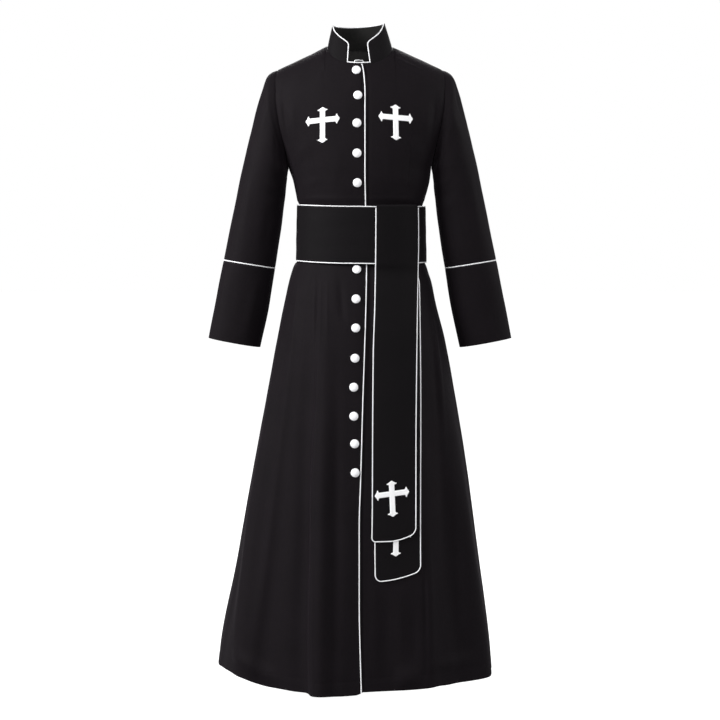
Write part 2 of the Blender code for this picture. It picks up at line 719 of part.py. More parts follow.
def sleeve_grid(along, lift=0.0):
    """Rings of the left sleeve at these places, moved out by lift."""
    angle, along = np.meshgrid(np.arange(SLEEVE_COLUMNS) * 2 * math.pi / SLEEVE_COLUMNS, along)
    normal = normals(sleeve_point, angle, along, low=0.0, high=1.0)
    return sleeve_point(angle, along) + normal * lift, normal


def sleeve_step():
    """Share of the sleeve's table that a length of its piping's reach takes at the cuff."""
    length = float(np.linalg.norm(sleeve_point(0.0, CUFF_SEAM + 0.01)
                                  - sleeve_point(0.0, CUFF_SEAM - 0.01)) / 0.02)
    return PIPE_REACH / length


def make_sleeves(collection):
    """Sleeves, cuffs and the piping between them; the right ones mirror the left."""
    step = sleeve_step()
    along = np.array(SLEEVE_ROWS + [CUFF_SEAM - step])
    cuff = np.linspace(CUFF_SEAM + step, 1.0, CUFF_ROWS)
    for side, sign in (("right", -1), ("left", 1)):
        mirror = np.array([sign, 1, 1])
        for name, places in (("sleeve_", along), ("cuff_", cuff)):
            outer, normal = sleeve_grid(places)
            outer = outer + [ARMHOLE_GAP, 0, 0]
            outer, normal = outer * mirror, normal * mirror
            cloth_wall(name + side, collection, outer, outer - normal * WALL, BLACK_CLOTH, ring=True)
        path = sleeve_grid(np.array([CUFF_SEAM]), lift=-WALL / 3)[0][0] + [ARMHOLE_GAP, 0, 0]
        piping("cuff_piping_" + side, collection, path * mirror, ring=True)


# =========================================================================================
# Collar and neckline
# =========================================================================================
def neck_side(sign):
    """One side of the neck opening's edge, from centre front to centre back, as a dense line
    with its running length. On the wearer's right the closing front lies over the other."""
    front_x = np.sin(np.linspace(0, math.pi / 2, NECK_SAMPLES)) * NECK_HALF * sign
    u, level = neckline(front_x)
    front = on_body(u, level, closing_lift(u) if sign < 0 else np.zeros(len(u)))
    back = body_point(*neckline(front_x[::-1][1:], back=True))
    line = np.vstack([front, back])
    return line, np.concatenate([[0], np.cumsum(np.linalg.norm(np.diff(line, axis=0), axis=1))])


NECK_LEFT = neck_side(1)
NECK_RIGHT = neck_side(-1)


def neck_point(run):
    """The neckline at a running length: from centre front by the wearer's left, round the
    back and forward again on the right."""
    run = np.asarray(run, float)
    line, length = NECK_LEFT
    left = np.stack([np.interp(run, length, line[:, k]) for k in range(3)], -1)
    line, length = NECK_RIGHT
    right = np.stack([np.interp(NECK_ROUND - run, length, line[:, k]) for k in range(3)], -1)
    return np.where((run > NECK_LEFT[1][-1])[..., None], right, left)


def neck_run(x, back=False):
    """Running length round the neck at x."""
    line, length = NECK_LEFT if x >= 0 else NECK_RIGHT
    half = slice(NECK_SAMPLES - 1, None) if back else slice(0, NECK_SAMPLES)
    order = slice(None, None, -1) if back else slice(None)
    run = float(np.interp(abs(x), np.abs(line[half, 0])[order], length[half][order]))
    return run if x >= 0 else NECK_ROUND - run


NECK_ROUND = NECK_LEFT[1][-1] + NECK_RIGHT[1][-1]
COLLAR_START = neck_run(COLLAR_LEFT_END)
COLLAR_END = neck_run(COLLAR_RIGHT_END)


def collar_point(run, height):
    """The collar's outer face: it stands on the neckline and leans in towards its top."""
    run, height = np.broadcast_arrays(np.asarray(run, float), np.asarray(height, float))
    base = neck_point(run)
    lean = 1 - COLLAR_LEAN * height / COLLAR_HEIGHT
    x = base[..., 0] * lean + COLLAR_SHIFT * height / COLLAR_HEIGHT
    return np.stack([x, base[..., 1] * lean, base[..., 2] + height], -1)


def collar_top(run):
    """Height of the collar's edge, with a rounded corner at each front end."""
    from_end = np.minimum(run - COLLAR_START, COLLAR_END - run)
    inside = np.clip(COLLAR_CORNER - from_end, 0, COLLAR_CORNER)
    edge = COLLAR_EDGE.at("height", (run - COLLAR_START) / (COLLAR_END - COLLAR_START))
    return edge - (COLLAR_CORNER - np.sqrt(COLLAR_CORNER ** 2 - inside ** 2))


def collar_runs():
    """The collar's columns: the panels' own columns round the neck, so that both edges have
    the same corners, and a few more at its front ends."""
    front = np.linspace(0, NECK_U, FRONT_COLUMNS[0] + 1)[1:]
    x = np.interp(front, FRONT_NECK[0], NECK_STEPS)
    back = np.interp(np.linspace(0, NECK_U, BACK_COLUMNS[1] + 1)[:-1],
                     2 - BACK_NECK[0], NECK_STEPS)
    left = [neck_run(v) for v in x if v > COLLAR_LEFT_END + 2 * COLLAR_CORNER]
    left += [neck_run(v, back=True) for v in back[::-1] if v > 0]
    right = [neck_run(-v) for v in x if v > -COLLAR_RIGHT_END + 2 * COLLAR_CORNER]
    right += [neck_run(-v, back=True) for v in back[::-1] if v > 0]
    ends = COLLAR_CORNER * (1 - np.cos(np.linspace(0, math.pi / 2, 4)))
    return np.concatenate([COLLAR_START + ends, left, [NECK_LEFT[1][-1]], right[::-1],
                           (COLLAR_END - ends)[::-1]])


def beside(edge, facing, distance):
    """A line of points moved off an edge, within the cloth's own surface."""
    along = np.gradient(edge, axis=0)
    aside = np.cross(along, facing)
    return edge + distance * aside / np.linalg.norm(aside, axis=-1, keepdims=True)


def make_collar(collection):
    """The stand collar, the piping round its free edges and the piping across the neckline."""
    run = collar_runs()
    share = np.linspace(0, 1, 4)[:, None]
    height = COLLAR_BASE + share * (collar_top(run) - COLLAR_BASE)
    run = np.broadcast_to(run, height.shape)
    normal = normals(collar_point, run, height)
    outer = collar_point(run, height)
    cloth_wall("collar", collection, outer, outer - normal * STIFF_WALL, BLACK_CLOTH)

    foot = COLLAR_BASE + 2 * PIPE_REACH
    rising = np.linspace(foot, float(height[-1].min()), 4)[:-1]
    edge_run = np.concatenate([run[0, :1].repeat(3), run[0], run[0, -1:].repeat(3)])
    edge_height = np.concatenate([rising, height[-1], rising[::-1]])
    facing = normals(collar_point, edge_run, edge_height)
    middle = collar_point(edge_run, edge_height) - facing * STIFF_WALL / 2
    piping("collar_piping", collection, beside(middle, facing, -PIPE_REACH))

    across = np.linspace(COLLAR_RIGHT_END + GAP, COLLAR_LEFT_END - GAP, 8)
    u, level = neckline(across)
    facing = body_normal(u, level)
    edge = body_point(u, level) + facing * (LAP - WALL / 2)
    piping("neckline_piping", collection, beside(edge, facing, -PIPE_REACH - GAP))


def make_closing_piping(collection):
    """The cord down the closing front's edge, from the neckline to the hem."""
    top = float(FRONT_NECK[1][0])
    yoke = np.linspace(ARMPIT, top - CLOSING_TOP, YOKE_ROWS)
    levels = np.concatenate([SKIRT_ROWS, yoke])
    u = np.array([closing_edge_u(level) for level in levels])
    piping("closing_piping", collection, on_body(u, levels, np.full(len(u), PIPE_REACH + GAP)))


# =========================================================================================
# Cincture
# =========================================================================================
def band_point(u, height):
    """The middle of the band's wall; height is the share from its foot to its top."""
    u, height = np.broadcast_arrays(np.asarray(u, float), np.asarray(height, float))
    front = np.abs(u) <= 1
    turn = np.where(front, np.abs(u), 2 - np.abs(u)) * math.pi / 2
    flare = BAND_FLARE * (1 - height) * (BAND_TOP - BAND_FOOT)
    half = np.where(u < 0, BAND_HALF_RIGHT, BAND_HALF_LEFT) + flare
    depth = np.where(front, BAND_FRONT, BAND_BACK) + flare
    x = np.sign(u) * half * np.clip(np.sin(turn), 0, 1) ** (2 / BAND_POWER)
    y = np.where(front, -1, 1) * depth * np.abs(np.cos(turn)) ** (2 / BAND_POWER)
    sag = np.where(front, BAND_SAG * np.cos(turn) ** 2, 0) + BAND_TILT * np.maximum(x, 0)
    return np.stack([x, y, BAND_FOOT + height * (BAND_TOP - BAND_FOOT) - sag], -1)


def band_normal(u, height):
    return normals(band_point, u, height)


def make_band(collection):
    """The cincture's band and the cords along its two edges."""
    trim = PIPE_REACH / (BAND_TOP - BAND_FOOT)
    around = np.linspace(-2, 2, BAND_COLUMNS, endpoint=False)
    u, height = np.meshgrid(around, np.linspace(trim, 1 - trim, 3))
    middle = band_point(u, height)
    normal = band_normal(u, height)
    half = normal * STIFF_WALL / 2
    cloth_wall("cincture_band", collection, middle + half, middle - half, BLACK_CLOTH, ring=True)
    for name, edge in (("band_piping_top", 1.0), ("band_piping_foot", 0.0)):
        piping(name, collection, band_point(around, edge), ring=True)


LEAST_SLOPE = 0.03            # metres of x for one unit of u, near the side


def slide_to_x(x, surface, u):
    """The u at which surface(u) has this x, found by sliding along its slope."""
    for _ in range(8):
        slope = (surface(u + 1e-3)[..., 0] - surface(u - 1e-3)[..., 0]) / 2e-3
        u = np.clip(u + (x - surface(u)[..., 0]) / np.maximum(slope, LEAST_SLOPE), 0.02, 0.98)
    return u


def strip_point(x, level, clear, over_band):
    """Where a hanging strip lies. Over the band it keeps the strip's lift from the band, and
    below it runs out onto the skirt, whichever stands further forward, with a soft bend."""
    x, level = np.broadcast_arrays(np.asarray(x, float), np.asarray(level, float))
    under = np.clip(level, HEM, BAND_TOP)

    def skirt(u):
        return on_body(u, under, np.full(u.shape, clear))
    depth = -skirt(slide_to_x(x, skirt, u_of_x(x, under)))[..., 1]
    if over_band:
        height = np.clip((level - BAND_FOOT) / (BAND_TOP - BAND_FOOT), 0, 1)

        def face(u):
            return band_point(u, height) + band_normal(u, height) * FOLD_RADIUS
        first = np.arcsin(np.clip(x / BAND_HALF_LEFT, 0, 1)) * 2 / math.pi
        band_depth = -face(slide_to_x(x, face, first))[..., 1]
        below = BAND_FOOT - BAND_SAG - 2 * PIPING - level
        band_depth = band_depth - np.clip(below, 0, None) * STRIP_RETURN
        depth = STRIP_SETTLE * np.logaddexp(depth / STRIP_SETTLE, band_depth / STRIP_SETTLE)
    return np.stack([x, -depth, level], -1)


def foot_shape(tail, across):
    """How far a strip's end stands above its lowest line: it is level at first and then rises
    as a square, and its corners are rounded."""
    left = np.clip(tail["left"] - across * TAIL_WIDTH, 0, tail["left"])
    right = np.clip(tail["right"] - (1 - across) * TAIL_WIDTH, 0, tail["right"])
    corner = tail["left"] - np.sqrt(tail["left"] ** 2 - left ** 2)
    corner = corner + tail["right"] - np.sqrt(tail["right"] ** 2 - right ** 2)
    lifted = np.clip(across - tail["level_to"], 0, None) / (1 - tail["level_to"])
    return tail["rise"] * lifted ** 2 + corner


def head_shape(tail, across):
    """How far the fold of a strip over the band lies below the band's top line."""
    left, right = (tail["edges"].at(side, BAND_TOP) for side in ("left_edge", "right_edge"))
    x = left + (right - left) * across
    turn = np.arcsin((x / BAND_HALF_LEFT) ** (BAND_POWER / 2))
    return BAND_SAG * np.cos(turn) ** 2 + BAND_TILT * x


TAILS = {
    "tail_front": dict(edges=TAIL_FRONT, foot=TAIL_FRONT_FOOT, rise=0.0170, level_to=0.35,
                       left=0.007, right=0.011, clear=OVER_CLEAR, over=True, head=BAND_TOP),
    "tail_back": dict(edges=TAIL_BACK, foot=TAIL_BACK_FOOT, rise=0.0210, level_to=0.0,
                      left=0.013, right=0.012, clear=SKIRT_CLEAR, over=False, head=TAIL_BACK_HEAD),
}


def tail_xz(tail, across, down):
    """x and height of a strip at shares across its width and down its length. The shapes of
    its two ends fade quickly into level rows."""
    level = tail["head"] + (tail["foot"] - tail["head"]) * down
    level = level + foot_shape(tail, across) * down ** END_FADE
    if tail["over"]:
        level = level - head_shape(tail, across) * (1 - down) ** END_FADE
    left = tail["edges"].at("left_edge", level)
    right = tail["edges"].at("right_edge", level)
    return left + (right - left) * across, level


def tail_surface(tail, across, down):
    """The middle of a strip's wall as a surface of the shares across and down."""
    x, level = tail_xz(tail, across, down)
    return strip_point(x, level, tail["clear"], tail["over"])


def tail_rows(tail):
    """Shares down a strip: its ends and the skirt's own rows between them."""
    inside = [level for level in SKIRT_ROWS[::-1]
              if tail["foot"] + END_CLEAR < level < tail["head"] - END_CLEAR]
    levels = np.array([tail["head"]] + inside + [tail["foot"]])
    return (tail["head"] - levels) / (tail["head"] - tail["foot"])


def make_tails(collection):
    """The long strip of the cincture: one end in front, folded over the band, and the other
    below it, which comes out from under the band."""
    across = (1 - np.cos(np.linspace(0, math.pi, TAIL_COLUMNS + 1))) / 2
    for name, tail in TAILS.items():
        rows = tail_rows(tail)

        def surface(c, d, tail=tail):
            return tail_surface(tail, c, d)
        c, d = np.meshgrid(across, rows)
        middle = surface(c, d)
        normal = normals(surface, c, d, outward=-1.0, low=0.0, high=1.0)
        if name == "tail_front":
            middle, normal = fold_over(middle, normal)
        half = normal * WALL / 2
        cloth_wall(name, collection, middle + half, middle - half, BLACK_CLOTH)
        piping(name + "_piping", collection, tail_piping_path(tail, rows, across))


def fold_over(middle, normal):
    """Adds the turn over the band's top edge and the tuck behind it above the first row."""
    edge = middle[0]
    inward = -normal[0] * [1, 1, 0]
    inward /= np.linalg.norm(inward, axis=-1, keepdims=True)
    up = np.array([0, 0, 1])
    rows = [edge + inward * 2 * FOLD_RADIUS - up * FOLD_TUCK]
    facing = [inward]
    for turn in np.linspace(math.pi, 0, 6)[:-1]:
        rows.append(edge + inward * FOLD_RADIUS * (1 - math.cos(turn))
                    + up * FOLD_RISE * math.sin(turn))
        facing.append(up * math.sin(turn) - inward * math.cos(turn))
    return np.vstack([np.array(rows), middle]), np.vstack([np.array(facing), normal])


def tail_piping_path(tail, rows, across):
    """The cord round a strip's free edges, set out from them by the piping's reach."""
    sides = rows[1:] if tail["over"] else rows
    left = tail_xz(tail, np.zeros(len(sides)), sides)
    foot = tail_xz(tail, across[1:-1], np.ones(len(across) - 2))
    right = tail_xz(tail, np.ones(len(sides)), sides[::-1])
    flat = np.hstack([np.stack(left), np.stack(foot), np.stack(right)]).T
    step = np.gradient(flat, axis=0)
    step /= np.linalg.norm(step, axis=1, keepdims=True)
    outward = np.stack([step[:, 1], -step[:, 0]], -1)
    moved = flat + outward * PIPE_REACH
    return strip_point(moved[:, 0], moved[:, 1], tail["clear"], tail["over"])


# =========================================================================================
# Trims
# =========================================================================================
def make_buttons(collection):
    """Thirteen covered buttons: a low dome turned about its axis, set on the closing front."""
    points = [(radius * BUTTON_RADIUS, 0.0, rise * BUTTON_RISE) for radius, rise in BUTTON_PROFILE]
    edges = [(k, k + 1) for k in range(len(points) - 1)]
    for number in BUTTONS.keys:
        x = float(BUTTONS.at("x", number))
        z = float(BUTTONS.at("height", number))
        level = float(level_of_height(x, z))
        u = u_of_x(x, level)
        facing = body_normal(u, level)
        around = np.linspace(0, 2 * math.pi, 12, endpoint=False)
        rim_x = x + BUTTON_RADIUS * np.cos(around)
        rim_level = level_of_height(rim_x, z + BUTTON_RADIUS * np.sin(around))
        rim = body_point(u_of_x(rim_x, rim_level), rim_level) - body_point(u, level)
        seat = on_body(u, level, LAP + GAP + max(0.0, float((rim @ facing).max())))
        mesh = bpy.data.meshes.new("button")
        mesh.from_pydata(points, edges, [])
        obj = bpy.data.objects.new("button", mesh)
        turned = obj.modifiers.new("turned", "SCREW")
        turned.angle = 2 * math.pi
        turned.steps = turned.render_steps = BUTTON_SIDES
        turned.axis = "Z"
        turned.use_merge_vertices = True
        turned.merge_threshold = 0.00005
        turned.use_smooth_shade = True
        finish("button_%02d" % int(number), collection, obj, WHITE_TRIM)
        tilt = Vector(facing.tolist()).to_track_quat("Z", "Y").to_matrix().to_4x4()
        obj.matrix_world = Matrix.Translation(Vector(seat.tolist())) @ tilt


def arm_end(length):
    """Half of an arm's end, from its shaft out to the point, as (along, half width)."""
    return [(length - back, half) for back, half in CROSS_END]


def cross_outline():
    """The cross lying flat, its crossing at the origin, as (x, height) points in order."""
    arms = [(CROSS_UPPER, (0, 1)), (CROSS_SIDE, (-1, 0)), (CROSS_LOWER, (0, -1)),
            (CROSS_SIDE, (1, 0))]
    outline = []
    for length, (ax, az) in arms:
        half = arm_end(length)
        right = [(a * ax + w * az, a * az - w * ax) for a, w in half]
        left = [(a * ax - w * az, a * az + w * ax) for a, w in half[:-1]]
        outline += right + left[::-1]
        outline.append((CROSS_ARM * (ax - az), CROSS_ARM * (az + ax)))
    return outline


def make_crosses(collection):
    """The four applied crosses, cut across at even steps so that they follow the cloth."""
    for name, (x0, z0, arm_rise, shaft_lean) in CROSSES.items():
        form = bmesh.new()
        corners = [form.verts.new((x, 0, z)) for x, z in cross_outline()]
        form.faces.new(corners)
        for axis in ((1, 0, 0), (0, 0, 1)):
            for step in np.arange(-3, 4) * CROSS_FACET:
                everything = form.verts[:] + form.edges[:] + form.faces[:]
                bmesh.ops.bisect_plane(form, geom=everything, plane_co=Vector(axis) * step,
                                       plane_no=axis, dist=1e-6)
        bmesh.ops.triangulate(form, faces=form.faces)
        flat = np.array([vert.co for vert in form.verts])
        x = x0 + flat[:, 0] - shaft_lean * flat[:, 2]
        z = z0 + flat[:, 2] + arm_rise * flat[:, 0]
        placed = cross_place(name, x, z)
        for vert, point in zip(form.verts, placed):
            vert.co = point
        mesh = bpy.data.meshes.new(name)
        bmesh.ops.recalc_face_normals(form, faces=form.faces)
        form.normal_update()
        if sum(face.normal.y for face in form.faces) > 0:
            bmesh.ops.reverse_faces(form, faces=form.faces)
        form.to_mesh(mesh)
        form.free()
        obj = finish(name, collection, bpy.data.objects.new(name, mesh), WHITE_TRIM)
        wall = obj.modifiers.new("wall", "SOLIDIFY")
        wall.thickness = CROSS_WALL
        wall.offset = 1.0


def cross_place(name, x, z):
    """Points of a cross on the cloth that carries it, just clear of it."""
    if name.startswith("cross_chest"):
        level = level_of_height(x, z)
        u = u_of_x(x, level)
        lift = closing_lift(u) if "right" in name else 0.0
        return on_body(u, level, np.zeros(len(x)) + lift + CROSS_LIFT)
    tail = TAILS[name.replace("cross_", "")]
    offset = WALL / 2 + CROSS_LIFT

    def strip(x, level):
        return strip_point(x, level, tail["clear"], tail["over"])
    return strip(x, z) + normals(strip, x, z) * offset


def make_hook(collection):
    """The hook and eye that close the neck, as bent wire behind the neckline's piping: each
    is a hairpin with its sewn bend outward, and its upper arm reaches past the other's."""
    u, level = neckline(np.array([HOOK_X]))
    seat = on_body(u, level, np.full(1, LAP))[0] + [0, HOOK_BACK, HOOK_WIRE]
    turn = np.linspace(-math.pi / 2, math.pi / 2, 7)
    bend = np.stack([HOOK_REACH - HOOK_LOOP + HOOK_LOOP * np.cos(turn), 0 * turn,
                     HOOK_LOOP + HOOK_LOOP * np.sin(turn)], -1)
    path = np.vstack([[[HOOK_REACH - HOOK_LOOP - HOOK_ARM, 0, 0]], bend,
                      [[-HOOK_OVER, 0, 2 * HOOK_LOOP]]])
    for name, sign, back in (("collar_hook", -1, 0.0), ("collar_eye", 1, 3 * HOOK_WIRE)):
        placed = path * [sign, 1, 1] + seat + [0, back, 0]
        piping(name, collection, placed, radius=HOOK_WIRE, colour=BRIGHT_WIRE)


def main():
    for old in list(bpy.data.objects):
        bpy.data.objects.remove(old)
    collection = bpy.data.collections.new("cassock")
    bpy.context.scene.collection.children.link(collection)
    make_fronts(collection)
    make_sides(collection)
    make_backs(collection)
    make_sleeves(collection)
    make_collar(collection)
    make_closing_piping(collection)
    make_band(collection)
    make_tails(collection)
    make_buttons(collection)
    make_crosses(collection)
    make_hook(collection)


main()
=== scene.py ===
"""Cloth, trims and stage of a fitted, floor-length cassock that stands open as it does when worn.

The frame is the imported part's own: +X is the wearer's left, -Y the front, +Z up, in metres, with
the origin between the two points where the collar meets the shoulder seams. Every piece is a
surface worked out from the same shell as the solids, body_point(u, level), where u runs round
the body (0 centre front, +1 the left side, -1 the right side, +2 or -2 centre back) and level is
the height, which above the armpits becomes a quarter turn over the shoulder.
"""

import math

import bmesh
import bpy
import numpy as np
from bpy.props import FloatProperty, FloatVectorProperty, IntProperty, PointerProperty
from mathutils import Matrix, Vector


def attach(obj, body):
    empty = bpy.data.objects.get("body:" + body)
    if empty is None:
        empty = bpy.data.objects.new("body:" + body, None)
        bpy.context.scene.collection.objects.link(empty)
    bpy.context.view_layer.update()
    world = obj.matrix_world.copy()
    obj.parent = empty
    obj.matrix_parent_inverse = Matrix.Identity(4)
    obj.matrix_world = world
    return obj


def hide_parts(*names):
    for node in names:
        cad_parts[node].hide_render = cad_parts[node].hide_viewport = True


bl_info = {
    "name": "Cassock",
    "version": (1, 0, 0),
    "blender": (4, 5, 0),
    "location": "3D View > Sidebar > Cassock",
    "description": "Cloth, piping, buttons and crosses of a cassock on its packed solids",
    "category": "Object",
}

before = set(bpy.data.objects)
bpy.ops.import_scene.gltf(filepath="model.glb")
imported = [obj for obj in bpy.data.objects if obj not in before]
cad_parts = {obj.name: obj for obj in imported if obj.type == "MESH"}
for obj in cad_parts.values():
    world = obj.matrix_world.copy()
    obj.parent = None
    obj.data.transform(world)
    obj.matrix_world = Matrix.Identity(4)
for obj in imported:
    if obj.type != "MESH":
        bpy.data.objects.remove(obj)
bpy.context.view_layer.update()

# ---- sizes shared with the solids ------------------------
WALL = 0.0015
STIFF_WALL = 0.0020
GAP = 0.0003
LAP = WALL + 0.0005
LAP_START = -0.40
LAP_END = -0.20
PIPING = 0.0018
CORD = 0.0011                    # a cord as it shows outside the seam, drawn tight
CORD_LOBE = 0.2                  # swelling of a cord where its strip runs into the seam
PIPE_REACH = CORD + GAP
CORD_STEP = 0.0024

ARMPIT = -0.280
HEM = -1.447
NECK_HALF = 0.073
FRONT_NECK_DROP = 0.046
BACK_NECK_DROP = 0.002
NECK_POWER = 2.4
SHOULDER_FALL = 0.4615
SHOULDER_ROUND = 0.020
YOKE_RISE = 0.36
YOKE_POWER = 2.3
CROWN = ARMPIT + YOKE_RISE
SHOULDER_TURN = 0.9999
ARMHOLE_FRONT = 0.062
ARMHOLE_BACK = 0.060
UNDERLAP = -0.030
CLOSING_TOP = 0.0022
HEM_EASE = 0.30
SKIRT_TOP = -0.50                # level below which the skirt's waves grow
SKIRT_RUN = 0.95
FOLD_GROWTH = 1.15
PRINCESS_TOP = -0.1110
PRINCESS_TIP = -0.1150

CUFF_SEAM = 0.750
SLEEVE_POWER = 2.15
CAP_FADE = 0.20
ARMHOLE_GAP = 0.0005

COLLAR_HEIGHT = 0.0485
COLLAR_RIGHT_END = -0.0300
COLLAR_LEFT_END = 0.0245
COLLAR_LEAN = 0.175
COLLAR_SHIFT = -0.0022
COLLAR_CORNER = 0.006
COLLAR_BASE = 0.0006
COLLAR_TUCK = 0.0016             # how far the collar's cloth runs down behind the neckline
COLLAR_RIPPLE = 0.0003

BAND_TOP = -0.3625
BAND_FOOT = -0.4905
BAND_SAG = 0.0055
BAND_TILT = 0.024
BAND_HALF_RIGHT = 0.1450
BAND_HALF_LEFT = 0.1508
BAND_FRONT = 0.1165
BAND_BACK = 0.0965
BAND_POWER = 2.20
BAND_FLARE = 0.020
STRIP_LIFT = 0.0031
SKIRT_CLEAR = 0.0023
OVER_CLEAR = 0.0066
STRIP_SETTLE = 0.0060
STRIP_RETURN = 0.36
TAIL_FRONT_FOOT = -1.1155
TAIL_BACK_FOOT = -1.2045
TAIL_BACK_HEAD = -0.3900
TAIL_WIDTH = 0.104
END_FADE = 6
FOLD_RADIUS = STIFF_WALL / 2 + STRIP_LIFT
FOLD_RISE = PIPING + 3 * GAP + WALL / 2
FOLD_TUCK = 0.005
LEAST_SLOPE = 0.03

BUTTON_RADIUS = 0.0100
BUTTON_RISE = 0.0050
CROSS_ARM = 0.0061
CROSS_SIDE = 0.0385
CROSS_UPPER = 0.0290
CROSS_LOWER = 0.0510
CROSS_LIFT = 0.0004
CROSS_WALL = CROSS_LIFT + 0.0003
HOOK_X = -0.0025
HOOK_BACK = 0.0050
HOOK_WIRE = 0.0009
HOOK_LOOP = 0.0027
HOOK_REACH = 0.0096
HOOK_ARM = 0.0030
HOOK_OVER = 0.0018

SIDES = (("right", -1), ("left", 1))


def rows_of(text):
    """The numbers of a table, which stand below the line that names its columns."""
    return np.array([[float(word) for word in line.split()] for line in text.split("\n")[2:-1]])


class Table:
    """A short table with named columns, read on a smooth curve through its rows."""

    def __init__(self, text):
        data = rows_of(text)
        data = data[np.argsort(data[:, 0])]
        self.keys = data[:, 0]
        self.columns = dict(zip(text.split("\n")[1].split()[1:], data.T[1:]))

    def at(self, column, key):
        """Cubic between rows. The slope at a row is the harmonic mean of those beside it, or
        level where they differ in sign, so that the curve never swings past its rows."""
        keys = self.keys
        values = self.columns[column]
        key = np.clip(np.asarray(key, dtype=float), keys[0], keys[-1])
        steps = np.diff(keys)
        slopes = np.diff(values) / steps
        before, after = slopes[:-1], slopes[1:]
        agree = before * after > 0
        inner = np.where(agree, 2 * before * after / np.where(agree, before + after, 1), 0)
        tangents = np.concatenate([slopes[:1], inner, slopes[-1:]])
        row = np.clip(np.searchsorted(keys, key, side="right") - 1, 0, len(steps) - 1)
        part = (key - keys[row]) / steps[row]
        start = (1 + 2 * part) * (1 - part) ** 2 * values[row]
        end = part ** 2 * (3 - 2 * part) * values[row + 1]
        bend = part * (1 - part) ** 2 * tangents[row] - part ** 2 * (1 - part) * tangents[row + 1]
        return start + end + bend * steps[row]


SECTIONS = Table("""
level half_right half_left front back power
-0.2800 0.1640 0.1640 0.118 0.102 2.30
-0.3046 0.1550 0.1610 0.117 0.099 2.30
-0.3300 0.1495 0.1550 0.115 0.095 2.25
-0.3500 0.1450 0.1490 0.112 0.091 2.25
-0.3680 0.1392 0.1438 0.109 0.088 2.20
-0.4300 0.1403 0.1440 0.109 0.088 2.20
-0.4915 0.1438 0.1466 0.110 0.089 2.20
-0.4970 0.1500 0.1506 0.110 0.090 2.20
-0.5060 0.1545 0.1545 0.111 0.094 2.20
-0.5180 0.1584 0.1582 0.115 0.101 2.15
-0.5400 0.1645 0.1655 0.121 0.112 2.10
-0.5819 0.1740 0.1740 0.129 0.124 2.10
-0.6748 0.1928 0.1975 0.141 0.142 2.10
-0.8147 0.2188 0.2235 0.155 0.160 2.05
-1.0020 0.2545 0.2540 0.172 0.180 2.05
-1.1904 0.2879 0.2786 0.190 0.200 2.00
-1.3799 0.3239 0.3028 0.209 0.218 2.00
-1.4470 0.3325 0.3077 0.215 0.224 2.00
""")

ARMHOLE = Table("""
share half_width
0.00 0.1640
0.20 0.1730
0.45 0.1855
0.70 0.1925
0.88 0.1935
1.00 0.1900
""")

HEM_RISE = Table("""
u rise
-2.00 0.000
-1.30 0.010
-1.00 0.016
-0.67 0.0175
-0.57 0.0125
-0.49 0.0014
-0.44 -0.0033
-0.34 -0.0060
-0.27 -0.0085
-0.10 -0.0092
-0.02 -0.0084
0.02 -0.0026
0.20 -0.0020
0.38 0.0010
0.46 -0.0011
0.66 -0.0010
0.78 0.0010
0.87 0.0056
1.00 0.0060
1.40 0.002
2.00 0.000
""")

FOLDS = [dict(zip("u_top u_low top height right left".split(), row)) for row in [
    (-0.860, -0.585, -0.500, 0.017, 0.110, 0.090),
    (-0.315, -0.190, -0.520, 0.030, 0.028, 0.170),
    (-0.520, -0.440, -0.560, -0.003, 0.080, 0.080),
    (0.640, 0.760, -0.520, 0.014, 0.090, 0.100),
    (0.400, 0.330, -0.700, 0.010, 0.090, 0.060),
    (0.560, 0.520, -0.640, -0.008, 0.080, 0.080),
    (1.240, 1.270, -0.520, 0.018, 0.110, 0.110),
    (1.600, 1.640, -0.500, 0.020, 0.100, 0.100),
    (1.430, 1.455, -0.560, -0.010, 0.090, 0.090),
    (-1.230, -1.250, -0.540, 0.016, 0.110, 0.110),
    (-1.640, -1.650, -0.500, 0.021, 0.100, 0.100),
    (-1.440, -1.455, -0.560, -0.011, 0.090, 0.090),
    (2.000, 2.000, -0.520, 0.012, 0.080, 0.080),
    (-2.000, -2.000, -0.520, 0.012, 0.080, 0.080),
]]

PRINCESS = Table("""
level u
-1.4470 0.450
-0.5000 0.460
-0.2714 0.432
-0.2376 0.420
-0.1724 0.502
-0.1400 0.660
-0.1110 1.000
""")

CLOSING_EDGE = Table("""
level x
0.0100 0.0008
-0.0400 0.0022
-0.0550 0.0062
-0.0750 0.0091
-0.1100 0.0113
-0.2800 0.0113
-0.4900 0.0150
-0.5780 0.0138
-0.6680 0.0112
-0.7900 0.0070
-0.9640 0.0020
-1.0890 -0.0018
-1.2460 -0.0018
-1.4470 0.0027
""")

NECK_GUIDE = Table("""
level right left
0.0800 0.225 0.225
-0.2800 0.270 0.270
-0.5200 0.330 0.330
-0.8000 0.281 0.330
-1.4470 0.190 0.330
""")

COLLAR_EDGE = Table("""
share height
0.000 0.0478
0.025 0.0518
0.070 0.0556
0.140 0.0570
0.240 0.0554
0.360 0.0532
0.450 0.0512
0.600 0.0485
0.830 0.0478
0.915 0.0505
0.955 0.0494
0.982 0.0470
1.000 0.0446
""")

